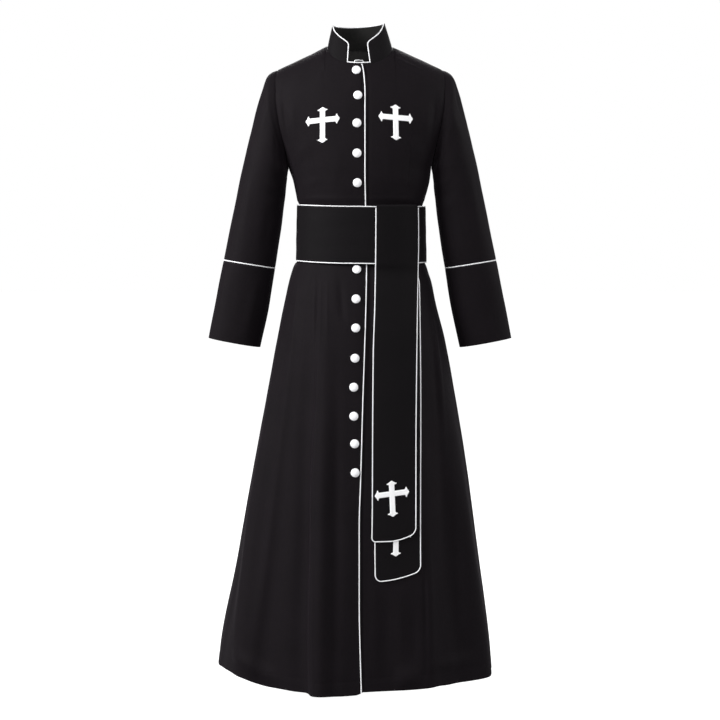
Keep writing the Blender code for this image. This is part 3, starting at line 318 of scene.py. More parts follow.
SLEEVE = Table("""
along outer_x outer_z inner_x inner_z half_depth
0.000 0.1900 -0.0532 0.1640 -0.2800 0.0610
0.035 0.2045 -0.0600 0.1652 -0.2830 0.0625
0.065 0.2140 -0.0700 0.1660 -0.2860 0.0640
0.115 0.2232 -0.0980 0.1668 -0.2905 0.0655
0.180 0.2320 -0.1290 0.1675 -0.2960 0.0665
0.260 0.2440 -0.1700 0.1684 -0.3040 0.0660
0.350 0.2570 -0.2200 0.1700 -0.3220 0.0645
0.450 0.2700 -0.2750 0.1735 -0.3530 0.0625
0.600 0.2905 -0.3720 0.1820 -0.4200 0.0595
0.750 0.3150 -0.4890 0.1960 -0.5080 0.0555
0.880 0.3340 -0.5820 0.2115 -0.6030 0.0520
1.000 0.3512 -0.6690 0.2310 -0.6910 0.0490
""")

TAIL_FRONT = Table("""
level left_edge right_edge
-0.300 0.0375 0.1298
-0.440 0.0370 0.1320
-0.580 0.0350 0.1290
-0.700 0.0312 0.1268
-0.900 0.0295 0.1245
-1.025 0.0290 0.1242
-1.200 0.0268 0.1235
""")
TAIL_BACK = Table("""
level left_edge right_edge
-0.390 0.0395 0.1210
-0.500 0.0390 0.1205
-0.540 0.0388 0.1335
-0.600 0.0385 0.1345
-0.800 0.0370 0.1358
-1.110 0.0348 0.1345
-1.300 0.0368 0.1360
""")
TAILS = {
    "tail_front": dict(edges=TAIL_FRONT, foot=TAIL_FRONT_FOOT, rise=0.0170, level_to=0.35,
                       left=0.007, right=0.011, clear=OVER_CLEAR, over=True, head=BAND_TOP),
    "tail_back": dict(edges=TAIL_BACK, foot=TAIL_BACK_FOOT, rise=0.0210, level_to=0.0,
                      left=0.013, right=0.012, clear=SKIRT_CLEAR, over=False, head=TAIL_BACK_HEAD),
}

BUTTONS = Table("""
count x height
1 -0.0081 -0.0623
2 -0.0049 -0.1193
3 -0.0068 -0.1818
4 -0.0067 -0.2490
5 -0.0060 -0.3150
6 -0.0072 -0.5110
7 -0.0088 -0.5762
8 -0.0094 -0.6411
9 -0.0112 -0.7086
10 -0.0139 -0.7733
11 -0.0139 -0.8380
12 -0.0121 -0.8993
13 -0.0110 -0.9639
""")

# place of the crossing, rise of the side arms and lean of the shaft
CROSSES = {
    "cross_chest_right": (-0.0838, -0.1746, 0.085, 0.000),
    "cross_chest_left": (0.0802, -0.1688, -0.075, 0.020),
    "cross_tail_front": (0.0715, -1.0110, 0.110, 0.045),
    "cross_tail_back": (0.0805, -1.1000, 0.040, -0.010),
}

# ---- creases ---------------------------------------------
# Soft ridges (height above 0) and troughs (below 0) of the cloth, each a line between two
# places seen from the front or the back, that fades at both ends. Places are in millimetres,
# heights and widths in tenths of a millimetre.
FRONT_CREASES = """
x_a z_a x_b z_b height width
58 -20 150 -62 16 60
62 -34 140 -78 -12 70
-60 -24 -150 -70 8 90
-66 -46 -140 -100 -8 100
172 -95 158 -235 -30 100
-174 -95 -160 -240 -28 100
150 -110 146 -220 16 90
-152 -120 -146 -225 14 90
-150 -265 -85 -205 8 100
-148 -285 -70 -240 -7 90
150 -262 100 -215 8 100
150 -290 85 -262 -7 90
-136 -330 -70 -300 7 80
-125 -348 -40 -351 7 45
138 -332 80 -300 7 80
136 -350 60 -348 7 50
60 -225 72 -330 8 90
-45 -230 -60 -330 8 110
-104 -515 -104 -720 12 30
-90 -515 -89 -700 12 26
-76 -515 -72 -690 11 28
-97 -515 -97 -660 -10 30
-48 -520 -36 -640 -28 70
-140 -520 -160 -760 14 60
-116 -560 -136 -1700 -60 170
-139 -520 -257 -1640 55 140
-230 -900 -278 -1430 16 140
-76 -560 -86 -1900 58 120
-50 -620 -56 -1800 -40 100
-30 -900 -22 -1440 10 120
20 -540 18 -900 -16 60
30 -1120 34 -1440 14 100
158 -560 196 -960 30 70
150 -560 184 -900 -26 80
140 -1060 146 -1440 -22 45
152 -1040 160 -1440 16 80
88 -1200 92 -1445 18 110
118 -1240 122 -1445 -14 90
-285 -1400 -170 -1428 60 170
72 -1418 142 -1422 72 240
140 -1404 268 -1396 58 170
34 -400 34 -1000 -60 190
205 -900 236 -1440 26 140
178 -850 200 -1300 -20 120
60 -1210 56 -1440 -12 100
"""

BACK_CREASES = """
x_a z_a x_b z_b height width
60 -22 150 -66 12 80
-60 -22 -148 -70 12 80
172 -95 156 -240 -28 110
-172 -100 -158 -235 -28 110
145 -110 128 -250 18 100
-143 -105 -126 -240 18 100
148 -270 70 -225 16 90
-148 -275 -78 -232 15 90
140 -300 50 -290 -12 80
-140 -305 -60 -285 -12 80
120 -335 30 -322 16 70
-126 -338 -34 -328 16 70
100 -352 -80 -351 12 45
40 -80 50 -300 10 160
-46 -90 -52 -280 10 160
30 -515 34 -720 16 40
-28 -515 -30 -760 16 40
58 -515 70 -700 -14 45
-60 -515 -74 -690 -14 45
92 -515 112 -790 16 60
-90 -515 -108 -760 16 60
125 -520 150 -820 -16 70
-126 -520 -152 -840 -16 70
60 -760 80 -1400 24 130
-50 -740 -66 -1420 24 130
110 -820 140 -1430 -22 120
-104 -850 -136 -1440 -22 120
170 -780 210 -1380 26 140
-176 -820 -222 -1430 26 140
215 -900 260 -1440 -20 120
-220 -950 -268 -1440 -20 120
20 -1000 24 -1440 -16 90
-22 -1050 -26 -1440 -14 90
"""

# the same for the left sleeve: its places are thousandths of a turn and of the length along
SLEEVE_CREASES = """
turn_a along_a turn_b along_b height width
50 30 40 300 26 70
110 50 90 260 -22 90
200 60 150 330 18 100
290 80 300 300 -22 110
380 120 330 330 20 100
960 40 950 300 20 80
880 60 870 280 -20 100
800 80 830 340 18 110
700 100 690 320 -18 120
620 130 660 340 18 100
440 340 280 420 10 110
450 410 260 500 -9 110
440 470 290 540 8 100
560 340 740 430 12 110
550 420 760 510 -11 110
560 490 720 560 10 100
150 420 170 700 14 110
70 380 80 660 12 120
320 520 330 730 -14 100
850 420 860 700 12 120
680 540 670 730 -12 110
180 770 200 960 -10 120
80 780 90 980 10 120
330 780 320 990 12 110
780 780 790 980 10 120
"""


def crease_rows(text):
    """A crease table as an array in metres, or turns and shares, one row for each crease."""
    return rows_of(text) / [1000, 1000, 1000, 1000, 10000, 10000]


# ---- settings --------------------------------------------
def a_colour(name, description, default):
    """A colour among the settings."""
    return FloatVectorProperty(name=name, description=description, size=3, subtype="COLOR",
                               min=0, max=1, default=default)


def a_length(name, description, default, **limits):
    """A length among the settings, in metres."""
    return FloatProperty(name=name, description=description, subtype="DISTANCE", unit="LENGTH",
                         default=default, **limits)


def a_power(name, description, default):
    """A light's power among the settings, in watts."""
    return FloatProperty(name=name, description=description, subtype="POWER", unit="POWER",
                         default=default, min=0)


class ClothSettings(bpy.types.PropertyGroup):
    """Sizes and colours of the black cloth."""
    colour: a_colour("Colour", "Colour of the suiting", (0.0046, 0.0031, 0.0044))
    faced: a_colour("Faced colour", "Colour of collar and cincture", (0.0036, 0.0029, 0.0036))
    shell: a_length("Thickness", "Thickness of one layer of cloth", 0.0010, min=0.0002)
    yarn: a_length("Yarn", "Distance between two lines of the twill", 0.0007, min=0.0001)
    crease: FloatProperty(name="Creases", description="Depth of the creases, 1 as worn",
                          subtype="FACTOR", default=1.0, min=0.0, max=3.0)
    seam: a_length("Seam depth", "How far a pressed seam is drawn in", 0.0005, min=0.0)
    hem: a_length("Hem", "Height of the turned-up hem", 0.030, min=0.005)


class TrimSettings(bpy.types.PropertyGroup):
    """Sizes and colours of the white trims, the thread and the wire."""
    white: a_colour("White", "Colour of piping and buttons", (0.86, 0.86, 0.88))
    thread: a_colour("Thread", "Colour of the crosses' thread", (0.92, 0.92, 0.93))
    relief: a_length("Cross relief", "Height of the satin stitch", 0.0010, min=0.0)
    stitch: a_length("Stitch", "Length from one stitch to the next", 0.0032, min=0.001)
    sides: IntProperty(name="Cord sides", description="Sides of a piping's round section",
                       default=14, min=6, max=32)


class StageSettings(bpy.types.PropertyGroup):
    """Floor, lights and camera."""
    floor: a_length("Floor height", "Height of the floor", -1.53)
    distance: a_length("Camera distance", "From the camera to mid-plane", 4.2, min=0.5)
    height: a_length("Camera height", "Height of the camera", -0.46147)
    tilt: FloatProperty(name="Camera tilt", description="Downward tilt of the camera",
                        subtype="ANGLE", unit="ROTATION", default=math.radians(3.5409))
    lens: FloatProperty(name="Lens", description="Focal length on a 36 mm sensor, in mm",
                        default=90.5, min=10)
    key: a_power("Key light", "Power of the light on the left", 248)
    fill: a_power("Fill light", "Power of the light on the right", 70)
    front: a_power("Front light", "Power of the light in front", 108)
    back: a_power("Back light", "Power of the light from behind", 150)
    around: FloatProperty(name="Surround", description="Strength of the light from all round",
                          default=0.20, min=0)


# ---- shapes of the body ----------------------------------
def smooth_step(value):
    """0 below 0, 1 above 1, with level ends: 3 v squared less 2 v cubed."""
    value = np.clip(value, 0.0, 1.0)
    return value * value * (3 - 2 * value)


def one_grid(first, second):
    """Two numbers or arrays as arrays of one shape."""
    return np.broadcast_arrays(np.asarray(first, float), np.asarray(second, float))


def eased(count):
    """Shares from 0 to 1 that lie close together at both ends."""
    return (1 - np.cos(np.linspace(0, math.pi, count))) / 2


def whole_turn(count):
    """Angles spread evenly over a whole turn."""
    return np.arange(count) * 2 * math.pi / count


def turn_of(u):
    """Distance in u from centre front or, past the sides, from centre back."""
    return np.where(np.abs(u) <= 1, np.abs(u), 2 - np.abs(u))


def turn_across(share, power):
    """The turn, 0 in the middle and 1 at the side, at which a superellipse reaches a share of
    its half width."""
    return np.arcsin(np.clip(share, 0, 1) ** (power / 2)) * 2 / math.pi


def shoulder_height(x):
    """Height of the shoulder seam over x: a straight fall, rounded over the neck."""
    return SHOULDER_FALL * (math.hypot(NECK_HALF, SHOULDER_ROUND) - np.hypot(x, SHOULDER_ROUND))


def fold_relief(u, level):
    """Sum of the skirt's ridges: each a bell across, growing from its top to the hem."""
    relief = np.zeros(np.broadcast(u, level).shape)
    for fold in FOLDS:
        run = np.clip((fold["top"] - level) / (fold["top"] - HEM), 0, 1)
        offset = u - (fold["u_top"] + (fold["u_low"] - fold["u_top"]) * run)
        width = np.where(offset > 0, fold["left"], fold["right"])
        growth = smooth_step(run * FOLD_GROWTH)
        relief = relief + fold["height"] * growth * np.exp(-(offset / width) ** 2)
    return relief


def yoke_turn(level):
    """The quarter turn over the shoulder at a level of the yoke, and the share of the yoke's
    height that it reaches."""
    rise = np.clip((level - ARMPIT) / YOKE_RISE, 0, 1) * math.pi / 2
    return rise, np.sin(rise) ** (2 / YOKE_POWER)


def half_width(side, level, share):
    """Half width of the shell on the side of the given sign: that of the body's sections and,
    above the armpits, that of the armhole at the share of the yoke's height."""
    low = np.minimum(level, ARMPIT)
    half = np.where(side < 0, SECTIONS.at("half_right", low), SECTIONS.at("half_left", low))
    return np.where(level > ARMPIT, ARMHOLE.at("half_width", share), half)


def body_point(u, level):
    """A point of the shell. Round the body it is a superellipse with its own half widths and
    depths. Above the armpits the depth shrinks along a quarter of a superellipse up to the
    shoulder seam, while the open edge keeps the depth of the armhole's oval."""
    u, level = one_grid(u, level)
    front = np.abs(u) <= 1
    turn = turn_of(u) * math.pi / 2
    side = np.where(u < 0, -1.0, 1.0)
    low = np.minimum(level, ARMPIT)
    power = SECTIONS.at("power", low)
    depth = np.where(front, SECTIONS.at("front", low), SECTIONS.at("back", low))
    rise, share = yoke_turn(level)
    half = half_width(side, level, share)
    armhole = np.where(front, ARMHOLE_FRONT, ARMHOLE_BACK)
    open_edge = armhole * 2 * np.sqrt(np.clip(share * (1 - share), 0, None))
    middle = depth * np.clip(np.cos(rise), 0, None) ** (2 / YOKE_POWER)
    across = np.clip(np.sin(turn), 0, 1) ** (2 / power)
    reach = (middle ** power * np.cos(turn) ** 2 + open_edge ** power * np.sin(turn) ** 2)
    x = side * half * across
    y = np.where(front, -1.0, 1.0) * reach ** (1 / power)
    over = ARMPIT + share * (shoulder_height(x) - ARMPIT)
    hem = HEM_RISE.at("rise", u) * smooth_step(1 - (level - HEM) / HEM_EASE)
    z = np.where(level > ARMPIT, over, level + hem)
    out = np.hypot(x / half ** 2, y / depth ** 2)
    relief = fold_relief(u, level)
    x = x + relief * x / half ** 2 / out
    y = y + relief * y / depth ** 2 / out
    return np.stack([x, y, z], axis=-1)


def normals(surface, u, v, outward=1.0, low=-np.inf, high=np.inf):
    """Unit normals of surface(u, v): the cross product of its two small steps."""
    step = 1e-4
    u, v = one_grid(u, v)
    along_u = surface(u + step, v) - surface(u - step, v)
    along_v = surface(u, np.minimum(v + step, high)) - surface(u, np.maximum(v - step, low))
    normal = np.cross(along_u, along_v) * outward
    return normal / np.linalg.norm(normal, axis=-1, keepdims=True)


def body_normal(u, level):
    """The shell's normal, which points outwards."""
    return normals(body_point, u, level, low=HEM, high=CROWN)


def quarter(level):
    """Length round a quarter of the body at a level."""
    low = np.minimum(level, ARMPIT)
    return math.pi / 4 * (SECTIONS.at("half_left", low) + SECTIONS.at("front", low))


def u_of_x(x, level):
    """The u, on the front, at which the shell has this x, found by sliding along its slope."""
    x, level = one_grid(x, level)
    reach = np.abs(body_point(np.where(x < 0, -1.0, 1.0), level)[..., 0])
    power = SECTIONS.at("power", np.minimum(level, ARMPIT))
    u = np.sign(x) * turn_across(np.abs(x) / reach, power)
    for _ in range(6):
        slope = (body_point(u + 1e-3, level)[..., 0] - body_point(u - 1e-3, level)[..., 0]) / 2e-3
        u = u + (x - body_point(u, level)[..., 0]) / slope
    return u


def yoke_share(x, z):
    """Share of the yoke's height over x at height z."""
    return np.clip((z - ARMPIT) / (shoulder_height(x) - ARMPIT), 0, 1)


def level_of_share(share):
    """The level at which the yoke has reached a share of its height."""
    return ARMPIT + YOKE_RISE * turn_across(share, YOKE_POWER)


def level_of_height(x, z):
    """The level at which the front of the shell passes through height z at x."""
    return np.where(z > ARMPIT, level_of_share(yoke_share(x, z)), z)


def lens_bells(rows, x, z):
    """Sum over rows (xa, za, xb, zb, height, width) of a bell across the line from a to b,
    times a lens along it that is 0 at both ends."""
    relief = np.zeros(np.broadcast(x, z).shape)
    for xa, za, xb, zb, height, width in rows:
        length = math.hypot(xb - xa, zb - za)
        along_x, along_z = (xb - xa) / length, (zb - za) / length
        run = ((x - xa) * along_x + (z - za) * along_z) / length
        aside = (x - xa) * along_z - (z - za) * along_x
        lens = np.sin(np.clip(run, 0, 1) * math.pi) ** 1.3
        relief = relief + height * lens * np.exp(-(aside / width) ** 2)
    return relief


def place_creases(text, back):
    """A crease table given by x and height, turned into distances round the body and levels."""
    rows = crease_rows(text)
    for first in (0, 2):
        x, z = rows[:, first].copy(), rows[:, first + 1].copy()
        level = level_of_height(x, z)
        half = half_width(x, level, yoke_turn(level)[1])
        turn = turn_across(np.abs(x) / half, SECTIONS.at("power", np.minimum(level, ARMPIT)))
        turn = 2 - turn if back else turn
        rows[:, first] = np.sign(x) * turn * quarter(level)
        rows[:, first + 1] = level
    return rows


BODY_CREASES = np.vstack([place_creases(FRONT_CREASES, False), place_creases(BACK_CREASES, True)])


def crease_relief(u, level):
    """The creases of the tables, with slow uneven ripples that grow down the skirt."""
    around = u * quarter(level)
    relief = lens_bells(BODY_CREASES, around, level)
    drop = np.clip((SKIRT_TOP - level) / SKIRT_RUN, 0, 1)
    waves = (np.sin(u * 23 + 5 * level) * np.sin(level * 17 + u * 7)
             + 0.6 * np.sin(u * 41 - 9 * level))
    chest = np.sin(u * 17 + 31 * level) * np.sin(level * 43 - u * 9)
    return (relief + 0.0006 * drop * waves + 0.00025 * (1 - drop) * chest) * cloth_set().crease


def closing_lift(u):
    """The closing front rises over the other before it reaches its edge."""
    return LAP * smooth_step((u - LAP_START) / (LAP_END - LAP_START))


def on_body(u, level, lift=0.0, creased=True):
    """A point lifted off the shell, with its creases, along the shell's normal."""
    lift = np.asarray(lift, float)
    if creased:
        lift = lift + crease_relief(np.asarray(u, float), np.asarray(level, float))
    return body_point(u, level) + body_normal(u, level) * lift[..., None]


def neckline(x, back=False):
    """(u, level) of the neck opening's edge at x: a superellipse seen from the front."""
    drop = BACK_NECK_DROP if back else FRONT_NECK_DROP
    share_x = np.clip(np.abs(x) / NECK_HALF, 0, 1)
    z = -drop * (1 - share_x ** NECK_POWER) ** (1 / NECK_POWER)
    share = yoke_share(x, z)
    half = ARMHOLE.at("half_width", share)
    turn = turn_across(np.abs(x) / half, SECTIONS.at("power", ARMPIT))
    turn = 2 - turn if back else turn
    return np.where(x < 0, -turn, turn), level_of_share(share)


NECK_SAMPLES = 240
NECK_STEPS = np.sin(np.linspace(0, math.pi / 2, NECK_SAMPLES)) * NECK_HALF
FRONT_NECK = neckline(NECK_STEPS)
BACK_NECK = neckline(NECK_STEPS, back=True)
SHOULDER_LEVEL = ARMPIT + YOKE_RISE * SHOULDER_TURN
NECK_U = float(FRONT_NECK[0][-1])
NECK_TOP = float(FRONT_NECK[1][0])


def top_level(turn, back=False):
    """Level of a panel's upper edge: the neckline, then the shoulder seam."""
    neck_turn, neck_level = BACK_NECK if back else FRONT_NECK
    neck_turn = 2 - neck_turn if back else neck_turn
    return np.minimum(np.interp(np.abs(turn), neck_turn, neck_level), SHOULDER_LEVEL)


def edge_height(level):
    """Height of the shell at centre front for a level of the yoke."""
    level = np.minimum(level, NECK_TOP)
    return body_point(np.zeros(np.shape(level)), level)[..., 2]


def closing_edge_u(level, beside=0.0):
    """u of the closing front's piping, or of a line beside it."""
    x = CLOSING_EDGE.at("x", np.where(level < ARMPIT, level, edge_height(level)))
    return u_of_x(x + beside, np.minimum(level, NECK_TOP))


def guide_u(column, level):
    """u of the inner guide of a front; it meets the neck point at the top."""
    return np.where(level >= ARMPIT + YOKE_RISE * 0.999, NECK_U, NECK_GUIDE.at(column, level))


def princess(level):
    """u of the seam from the armhole to the hem, and above it the armhole."""
    return np.where(level >= PRINCESS_TOP, 1.0, PRINCESS.at("u", level))


# ---- making meshes ---------------------------------------
def cloth_set():
    """The settings of the cloth."""
    return bpy.context.scene.cassock_cloth


def trim_set():
    """The settings of the trims."""
    return bpy.context.scene.cassock_trims


SHARP_ANGLE = math.radians(62)
DIP_WIDTH = 0.0022               # reach of the dip beside a seam or a row of stitches
THIN_EDGE = 0.0016               # reach over which a stiff piece is drawn in at its edge


def grid_faces(rows, columns, wrap_columns=False, wrap_rows=False):
    """Four-cornered faces of a grid of points, rows by columns."""
    index = np.arange(rows * columns).reshape(rows, columns)
    if wrap_columns:
        index = np.hstack([index, index[:, :1]])
    if wrap_rows:
        index = np.vstack([index, index[:1]])
    quads = np.stack([index[:-1, :-1], index[:-1, 1:], index[1:, 1:], index[1:, :-1]], -1)
    return quads.reshape(-1, 4)


def lengths(points, axis):
    """Running length over a grid of points along an axis, from its first row or column."""
    step = np.linalg.norm(np.diff(points, axis=axis), axis=-1)
    start = np.zeros_like(np.take(step, [0], axis=axis))
    return np.concatenate([start, step.cumsum(axis=axis)], axis=axis)


def cloth_map(points, ring=False):
    """Lengths over a grid of points, across from its middle column and along from its first
    row, so that a weave keeps its scale. On a ring each column keeps its share of the mean
    girth. Returns the map and the girth."""
    across = lengths(points, 1)
    girth = 0.0
    if ring:
        closing = np.linalg.norm(points[:, 0] - points[:, -1], axis=-1)
        girth = float((across[:, -1] + closing).mean())
        share = across.mean(axis=0) / (across[:, -1] + closing).mean()
        across = np.broadcast_to(share * girth, across.shape)
    else:
        across = across - across[:, [across.shape[1] // 2]]
    return np.stack([across, lengths(points, 0)], -1), girth


def linked(name, data):
    """A new object with this data, in the scene."""
    item = bpy.data.objects.new(name, data)
    bpy.context.scene.collection.objects.link(item)
    return item


def make_mesh(name, points, faces, place, material, period=0.0):
    """An object from arrays: points, faces, and a place on the cloth for each point, which
    becomes the UV map named cloth. Where the place runs round with a period, the faces that
    cross its seam get it added. The closed mesh is then turned by its volume."""
    mesh = bpy.data.meshes.new(name)
    mesh.from_pydata(points.reshape(-1, 3).tolist(), [], faces)
    form = bmesh.new()
    form.from_mesh(mesh)
    bmesh.ops.recalc_face_normals(form, faces=form.faces)
    if form.calc_volume(signed=True) < 0:
        bmesh.ops.reverse_faces(form, faces=form.faces)
    form.to_mesh(mesh)
    form.free()
    loops = np.zeros(len(mesh.loops), dtype=np.int32)
    mesh.loops.foreach_get("vertex_index", loops)
    sizes = np.zeros(len(mesh.polygons), dtype=np.int32)
    mesh.polygons.foreach_get("loop_total", sizes)
    places = place.reshape(-1, 2)[loops]
    if period:
        face = np.repeat(np.arange(len(sizes)), sizes)
        start = np.concatenate([[0], np.cumsum(sizes)[:-1]])
        spread = (np.maximum.reduceat(places[:, 0], start)
                  - np.minimum.reduceat(places[:, 0], start))[face]
        low = places[:, 0] < np.minimum.reduceat(places[:, 0], start)[face] + period / 2
        places[:, 0] += np.where((spread > period / 2) & low, period, 0)
    layer = mesh.uv_layers.new(name="cloth")
    layer.uv.foreach_set("vector", places.astype(np.float32).ravel())
    mesh.shade_smooth()
    mesh.set_sharp_from_angle(angle=SHARP_ANGLE)
    mesh.materials.append(material)
    piece = linked(name, mesh)
    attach(piece, "root")
    return piece


def two_walls(name, outer, inner, material, ring=False, inside=None):
    """A thin closed shell: an outer and an inner grid of points, and a rim between them. The
    inner wall may have a material of its own."""
    rows, columns = outer.shape[:2]
    place, girth = cloth_map(outer, ring)
    outside = grid_faces(rows, columns, wrap_columns=ring)
    shift = rows * columns
    index = np.arange(shift).reshape(rows, columns)
    if ring:
        index = np.hstack([index, index[:, :1]])
    rims = [np.stack([index[0, 1:], index[0, :-1]], -1),
            np.stack([index[-1, :-1], index[-1, 1:]], -1)]
    if not ring:
        rims.append(np.stack([index[:-1, 0], index[1:, 0]], -1))
        rims.append(np.stack([index[1:, -1], index[:-1, -1]], -1))
    edges = np.vstack(rims)
    rim = np.stack([edges[:, 0], edges[:, 1], edges[:, 1] + shift, edges[:, 0] + shift], -1)
    faces = np.vstack([outside, (outside + shift)[:, ::-1], rim])
    points = np.concatenate([outer.reshape(-1, 3), inner.reshape(-1, 3)])
    places = np.concatenate([place.reshape(-1, 2)] * 2)
    piece = make_mesh(name, points, faces.tolist(), places, material, period=girth)
    if inside:
        piece.data.materials.append(inside)
        wall = np.zeros(len(faces), dtype=np.int32)
        wall[len(outside):2 * len(outside)] = 1
        piece.data.polygons.foreach_set("material_index", wall)
    return piece


def resampled(path, toward, spacing, ring=False):
    """A path and the directions that go with it, at even steps of its length."""
    if ring:
        path = np.vstack([path, path[:1]])
        toward = np.vstack([toward, toward[:1]])
    run = lengths(path, 0)
    even = np.linspace(0, run[-1], max(4, round(float(run[-1]) / spacing)), endpoint=not ring)
    return [np.stack([np.interp(even, run, line[:, k]) for k in range(3)], -1)
            for line in (path, toward)]


def tube(name, path, toward, material, radius=CORD, ring=False, lobe=0.0, both=False):
    """A cord along a path. Its section is a circle, with radius times one plus lobe times a
    bell on the side of toward, where its covering strip runs into the seam; the radius also
    swells and shrinks a little along it."""
    sides = trim_set().sides
    if ring:
        along = np.roll(path, -1, axis=0) - np.roll(path, 1, axis=0)
    else:
        along = np.gradient(path, axis=0)
    along = along / np.linalg.norm(along, axis=1, keepdims=True)
    first = toward - (toward * along).sum(1, keepdims=True) * along
    first = first / np.linalg.norm(first, axis=1, keepdims=True)
    second = np.cross(along, first)
    angle = whole_turn(sides)
    off = np.minimum(angle, 2 * math.pi - angle)
    spread = 0.5
    swell = 1 + lobe * np.exp(-(off / spread) ** 2)
    if both:
        swell = swell + lobe * np.exp(-((math.pi - off) / spread) ** 2)
    run = lengths(path, 0)
    turns = 2 * math.pi / (run[-1] + run[-1] / len(run)) * np.array([[37], [91]])
    uneven = 1 + 0.020 * np.sin(run * turns[0]) + 0.015 * np.sin(run * turns[1] + 1.7)
    size = (radius * swell[None, :] * uneven[:, None])[..., None]
    points = path[:, None, :] + size * (np.cos(angle)[None, :, None] * first[:, None, :]
                                        + np.sin(angle)[None, :, None] * second[:, None, :])
    place = np.stack(np.broadcast_arrays(angle[None, :] * radius, run[:, None]), -1)
    faces = grid_faces(len(path), sides, wrap_columns=True, wrap_rows=ring).tolist()
    points, place = points.reshape(-1, 3), place.reshape(-1, 2)
    if not ring:
        start = np.arange(sides)
        last = start + (len(path) - 1) * sides
        first_tip = np.full(sides, len(points))
        faces += np.stack([np.roll(start, -1), start, first_tip], -1).tolist()
        faces += np.stack([last, np.roll(last, -1), first_tip + 1], -1).tolist()
        tips = path[[0, -1]] + along[[0, -1]] * np.array([[-0.3], [0.3]]) * radius
        points = np.vstack([points, tips])
        place = np.vstack([place, [[0, 0], [0, run[-1]]]])
    return make_mesh(name, points, faces, place, material, period=2 * math.pi * radius)


def finished(piece, node):
    """Hides the solid that a piece stands for, and returns the piece."""
    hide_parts(node)
    return piece


def piping(name, path, toward, **kind):
    """A white cord along a path, for the solid of the same name."""
    cord = tube(name, path, toward, white_cotton(), lobe=CORD_LOBE, **kind)
    return finished(cord, name)


def edge_roll(distance):
    """The pressed dip beside a seam: a bell of the distance from it."""
    return -cloth_set().seam * np.exp(-(distance / DIP_WIDTH) ** 2)


# ---- materials -------------------------------------------
def new_group(name, inputs, outputs):
    """A shader node group with named sockets, its input and its output node."""
    group = bpy.data.node_groups.new(name, "ShaderNodeTree")
    for label, kind, value in inputs:
        socket = group.interface.new_socket(name=label, in_out="INPUT", socket_type=kind)
        if value is not None:
            socket.default_value = value
    for label, kind in outputs:
        group.interface.new_socket(name=label, in_out="OUTPUT", socket_type=kind)
    return group, group.nodes.new("NodeGroupInput"), group.nodes.new("NodeGroupOutput")


class Wiring:
    """Short ways to add nodes to a tree and join them."""

    def __init__(self, tree):
        self.tree = tree

    def math(self, operation, first, second=None, third=None):
        """The result of a math node."""
        node = self.tree.nodes.new("ShaderNodeMath")
        node.operation = operation
        for socket, value in zip(node.inputs, (first, second, third)):
            self.feed(socket, value)
        return node.outputs[0]

    def feed(self, socket, value):
        """Joins a socket to another, or sets its number."""
        if value is None:
            return
        if isinstance(value, bpy.types.NodeSocket):
            self.tree.links.new(value, socket)
        else:
            socket.default_value = value

    def noise(self, vector, scale, detail=2.0):
        """A noise from 0 to 1."""
        node = self.tree.nodes.new("ShaderNodeTexNoise")
        self.feed(node.inputs["Vector"], vector)
        self.feed(node.inputs["Scale"], scale)
        node.inputs["Detail"].default_value = detail
        node.inputs["Roughness"].default_value = 0.5
        return node.outputs["Fac"]

    def shade(self, colour, factor):
        """A colour times a number."""
        node = self.tree.nodes.new("ShaderNodeVectorMath")
        node.operation = "SCALE"
        self.feed(node.inputs[0], colour)
        self.feed(node.inputs["Scale"], factor)
        return node.outputs[0]


def twill_group():
    """Woven cloth: slanting ridges, sine of (across + along) over the pitch, crossed by finer
    yarns, each a little thicker or thinner by a noise. Gives height, shaded colour, roughness."""
    group, entry, leave = new_group("twill weave", [
        ("Place", "NodeSocketVector", None),
        ("Colour", "NodeSocketColor", None),
        ("Pitch", "NodeSocketFloat", 0.0007),
        ("Contrast", "NodeSocketFloat", 0.2),
        ("Roughness", "NodeSocketFloat", 0.7),
    ], [("Colour", "NodeSocketColor"), ("Height", "NodeSocketFloat"),
        ("Roughness", "NodeSocketFloat")])
    wire = Wiring(group)
    split = group.nodes.new("ShaderNodeSeparateXYZ")
    group.links.new(entry.outputs["Place"], split.inputs[0])
    turns = wire.math("DIVIDE", 2 * math.pi, entry.outputs["Pitch"])
    slant = wire.math("ADD", split.outputs["X"], split.outputs["Y"])
    ridge = wire.math("SINE", wire.math("MULTIPLY", slant, turns))
    yarn = wire.math("MULTIPLY", split.outputs["X"], 0.4)
    yarn = wire.math("SUBTRACT", split.outputs["Y"], yarn)
    yarn = wire.math("SINE", wire.math("MULTIPLY", wire.math("MULTIPLY", yarn, turns), 1.9))
    slub = wire.noise(entry.outputs["Place"], wire.math("DIVIDE", 0.35, entry.outputs["Pitch"]))
    height = wire.math("MULTIPLY_ADD", yarn, 0.35, ridge)
    height = wire.math("MULTIPLY_ADD", wire.math("SUBTRACT", slub, 0.5), 1.6, height)
    tone = wire.math("MULTIPLY_ADD", height, entry.outputs["Contrast"], 1.0)
    group.links.new(wire.shade(entry.outputs["Colour"], tone), leave.inputs["Colour"])
    group.links.new(wire.math("MULTIPLY_ADD", height, 0.25, 0.5), leave.inputs["Height"])
    rough = wire.math("MULTIPLY_ADD", height, -0.03, entry.outputs["Roughness"])
    group.links.new(rough, leave.inputs["Roughness"])
    return group


